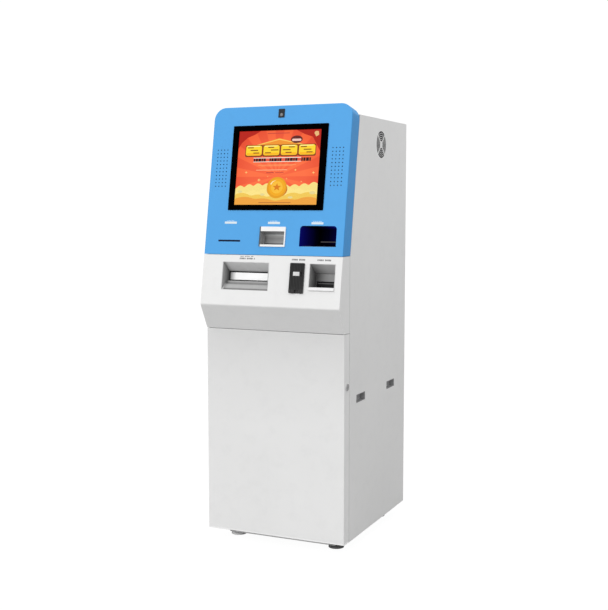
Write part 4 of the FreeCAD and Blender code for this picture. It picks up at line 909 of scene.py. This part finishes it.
GRIP_REACH = 0.024      # the cassette's grip stands this far in front of its face
RIB_INSET, RIB_WIDTH, RIB_GAP = 0.006, 0.003, 0.0002
for number in range(1, 5):
    label = "cassette_" + str(number)
    body = "note_" + label
    low, high = (Vector(v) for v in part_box(label))
    front = low.y + GRIP_REACH
    left, right = low.x + RIB_INSET, high.x - RIB_INSET
    foot, head = low.z + RIB_INSET, high.z - RIB_INSET
    side_low, side_high = foot + RIB_WIDTH + RIB_GAP, head - RIB_WIDTH - RIB_GAP
    ribs = [oblong(left, right, foot, foot + RIB_WIDTH), oblong(left, right, head - RIB_WIDTH, head),
            oblong(left, left + RIB_WIDTH, side_low, side_high),
            oblong(right - RIB_WIDTH, right, side_low, side_high)]
    flat_shapes(label + "_ribs", ribs, cassette_plastic, body, front + SUNK, RAISED, upright=True)
    label_card(label + "_card", low.x + 0.016, low.z + 0.074, 0.058, body, front)
    flat_shapes(label + "_status", [disc(high.x - 0.07, low.z + 0.088, 0.0028, 16)],
                status_green if number > 1 else status_amber, body, front + SUNK, RAISED, upright=True)
    key_lock(label + "_lock", high.x - 0.043, low.z + 0.036, body, front)

BOX_GRIP_REACH = 0.022
low, high = (Vector(v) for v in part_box("coin_box"))
front = low.y + BOX_GRIP_REACH
label_card("coin_box_card", low.x + 0.012, high.z - 0.036, 0.048, "coin_drawer", front)
key_lock("coin_box_lock", high.x - 0.024, high.z - 0.024, "coin_drawer", front)

TOWER_SETBACK = 0.075   # the transport's tower stands this far behind its foremost face
COVER_LOW, COVER_HIGH = 0.66, 0.99
low, high = (Vector(v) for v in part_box("note_transport"))
front = low.y + TOWER_SETBACK
cover = oblong(low.x + 0.012, high.x - 0.012, COVER_LOW, COVER_HIGH, 0.004)
flat_shapes("transport_cover", [cover], sheet_steel, "cabinet", front + SUNK, 0.0014, upright=True)
cover_screws = [(x, z) for x in (low.x + 0.02, high.x - 0.02)
                for z in (COVER_LOW + 0.01, (COVER_LOW + COVER_HIGH) / 2, COVER_HIGH - 0.01)]
screw_heads("transport_cover_screw", cover_screws, "cabinet", front - 0.0011)

SOCKET_PITCH = 0.02
PANEL_THICKNESS = 0.001
low, high = (Vector(v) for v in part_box("control_computer"))
socket_z = low.z + 0.016
panel = oblong(low.x + 0.006, high.x - 0.006, low.z + 0.005, low.z + 0.048, 0.003)
flat_shapes("computer_front", [panel], brushed, "cabinet", low.y + SUNK, PANEL_THICKNESS, upright=True)
sockets = [oblong(left, left + 0.014, socket_z, socket_z + 0.0065)
           for left in (low.x + 0.05 + SOCKET_PITCH * i for i in range(4))]
sockets += [oblong(high.x - 0.09, high.x - 0.06, socket_z, socket_z + 0.009, 0.003),
            oblong(high.x - 0.05, high.x - 0.034, socket_z, socket_z + 0.013)]
flat_shapes("computer_sockets", sockets, black_plastic, "cabinet", low.y + SUNK - PANEL_THICKNESS - HAIR,
            upright=True)
panel_front = low.y + SUNK - PANEL_THICKNESS
flat_shapes("computer_button", [disc(low.x + 0.026, low.z + 0.026, 0.007, 28)], chrome, "cabinet",
            panel_front, 0.001, upright=True)
flat_shapes("computer_lamp", [disc(low.x + 0.026, low.z + 0.04, 0.0018, 14)], status_green, "cabinet",
            panel_front, 0.0006, upright=True)

MOUNT_HEIGHT, MOUNT_REACH = 0.35, 0.05
case = nodes["display_case"]
case_depth = max(-OUT.dot(case.matrix_world @ vertex.co - FACE_ORIGIN) for vertex in case.data.vertices)
low, high = (Vector(v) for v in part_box("display_panel"))
middle = (low.x + high.x) / 2
mount_screws = [(middle + dx, MOUNT_HEIGHT + dy) for dx in (-MOUNT_REACH, MOUNT_REACH)
                for dy in (-MOUNT_REACH, MOUNT_REACH)]
screw_heads("display_mount_screw", mount_screws, "fascia", -case_depth - RAISED + HAIR, upright=False)
flat_shapes("display_rating_card", [oblong(middle - 0.035, middle + 0.035, 0.415, 0.44, CARD_CORNER)],
            card_stock, "fascia", -case_depth - 0.0005, 0.0004)

low, high = (Vector(v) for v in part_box("power_supply"))
supply_screws = [(x, z) for x in (low.x + 0.007, high.x - 0.007) for z in (low.z + 0.008, high.z - 0.008)]
screw_heads("supply_screw", supply_screws, "cabinet", low.y + SUNK)

# =====================================================================
# finishes on the CAD nodes
# =====================================================================
for name, node in nodes.items():
    node.data.materials.clear()
    node.data.materials.append(node_materials[name])

# =====================================================================
# studio: pale floor, soft light, camera
# =====================================================================
FLOOR_Z = 0.0
FLOOR_REACH = 30
FLOOR_SHADOW, FLOOR_WHITE = 0.07, 0.965     # how much shadow the camera sees on it, and its own white
FLOOR_BOUNCE = 0.32                         # how much light it throws back up at the object
SKY_STRENGTH, SUN_STRENGTH = 1.04, 0.98
SUN_WIDTH = math.radians(35)
TOWARD_SUN = Vector((-0.35, -0.84, 0.415))
# The camera that fits the photo's perspective, in metres and degrees.
CAMERA_PLACE = (1.72626, -3.86363, 1.31044)
CAMERA_DIP, CAMERA_TURN = 5.42, 24.28
LENS_MM, SENSOR_MM = 62.3, 36.0


def studio_floor():
    mesh = bpy.data.meshes.new("studio_floor")
    corners = [(x * FLOOR_REACH, y * FLOOR_REACH, FLOOR_Z) for x, y in ((-1, -1), (1, -1), (1, 1), (-1, 1))]
    mesh.from_pydata(corners, [], [(0, 1, 2, 3)])
    floor = bpy.data.objects.new("studio_floor", mesh)
    bpy.context.scene.collection.objects.link(floor)
    material = bpy.data.materials.new("studio_floor_white")
    material.use_nodes = True
    tree = material.node_tree
    tree.nodes.clear()
    output = tree.nodes.new("ShaderNodeOutputMaterial")
    shadowed = add(tree, "ShaderNodeBsdfDiffuse", Color=(*grey(FLOOR_SHADOW), 1))
    white = add(tree, "ShaderNodeEmission", Color=(1, 1, 1, 1), Strength=FLOOR_WHITE)
    seen = tree.nodes.new("ShaderNodeAddShader")
    tree.links.new(shadowed.outputs[0], seen.inputs[0])
    tree.links.new(white.outputs[0], seen.inputs[1])
    bounced = add(tree, "ShaderNodeBsdfDiffuse", Color=(*grey(FLOOR_BOUNCE), 1))
    path = tree.nodes.new("ShaderNodeLightPath")
    chosen = tree.nodes.new("ShaderNodeMixShader")
    tree.links.new(path.outputs["Is Camera Ray"], chosen.inputs[0])
    tree.links.new(bounced.outputs[0], chosen.inputs[1])
    tree.links.new(seen.outputs[0], chosen.inputs[2])
    tree.links.new(chosen.outputs[0], output.inputs["Surface"])
    mesh.materials.append(material)
    floor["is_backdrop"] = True


def studio_light():
    scene = bpy.context.scene
    world = bpy.data.worlds.new("studio_world")
    world.use_nodes = True
    background = world.node_tree.nodes["Background"]
    background.inputs["Color"].default_value = (1, 1, 1, 1)
    background.inputs["Strength"].default_value = SKY_STRENGTH
    scene.world = world
    sun = bpy.data.lights.new("key_light", "SUN")
    sun.energy = SUN_STRENGTH
    sun.angle = SUN_WIDTH
    key = bpy.data.objects.new("key_light", sun)
    scene.collection.objects.link(key)
    key.rotation_mode = "QUATERNION"
    key.rotation_quaternion = TOWARD_SUN.normalized().to_track_quat("Z", "Y")
    scene.view_settings.view_transform = "Standard"
    scene.view_settings.look = "None"


def camera():
    data = bpy.data.cameras.new("photo_camera")
    data.lens = LENS_MM
    data.sensor_width = SENSOR_MM
    view = bpy.data.objects.new("photo_camera", data)
    bpy.context.scene.collection.objects.link(view)
    view.location = CAMERA_PLACE
    view.rotation_euler = (math.radians(90 - CAMERA_DIP), 0.0, math.radians(CAMERA_TURN))
    bpy.context.scene.camera = view


studio_floor()
studio_light()
camera()

low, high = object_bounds()
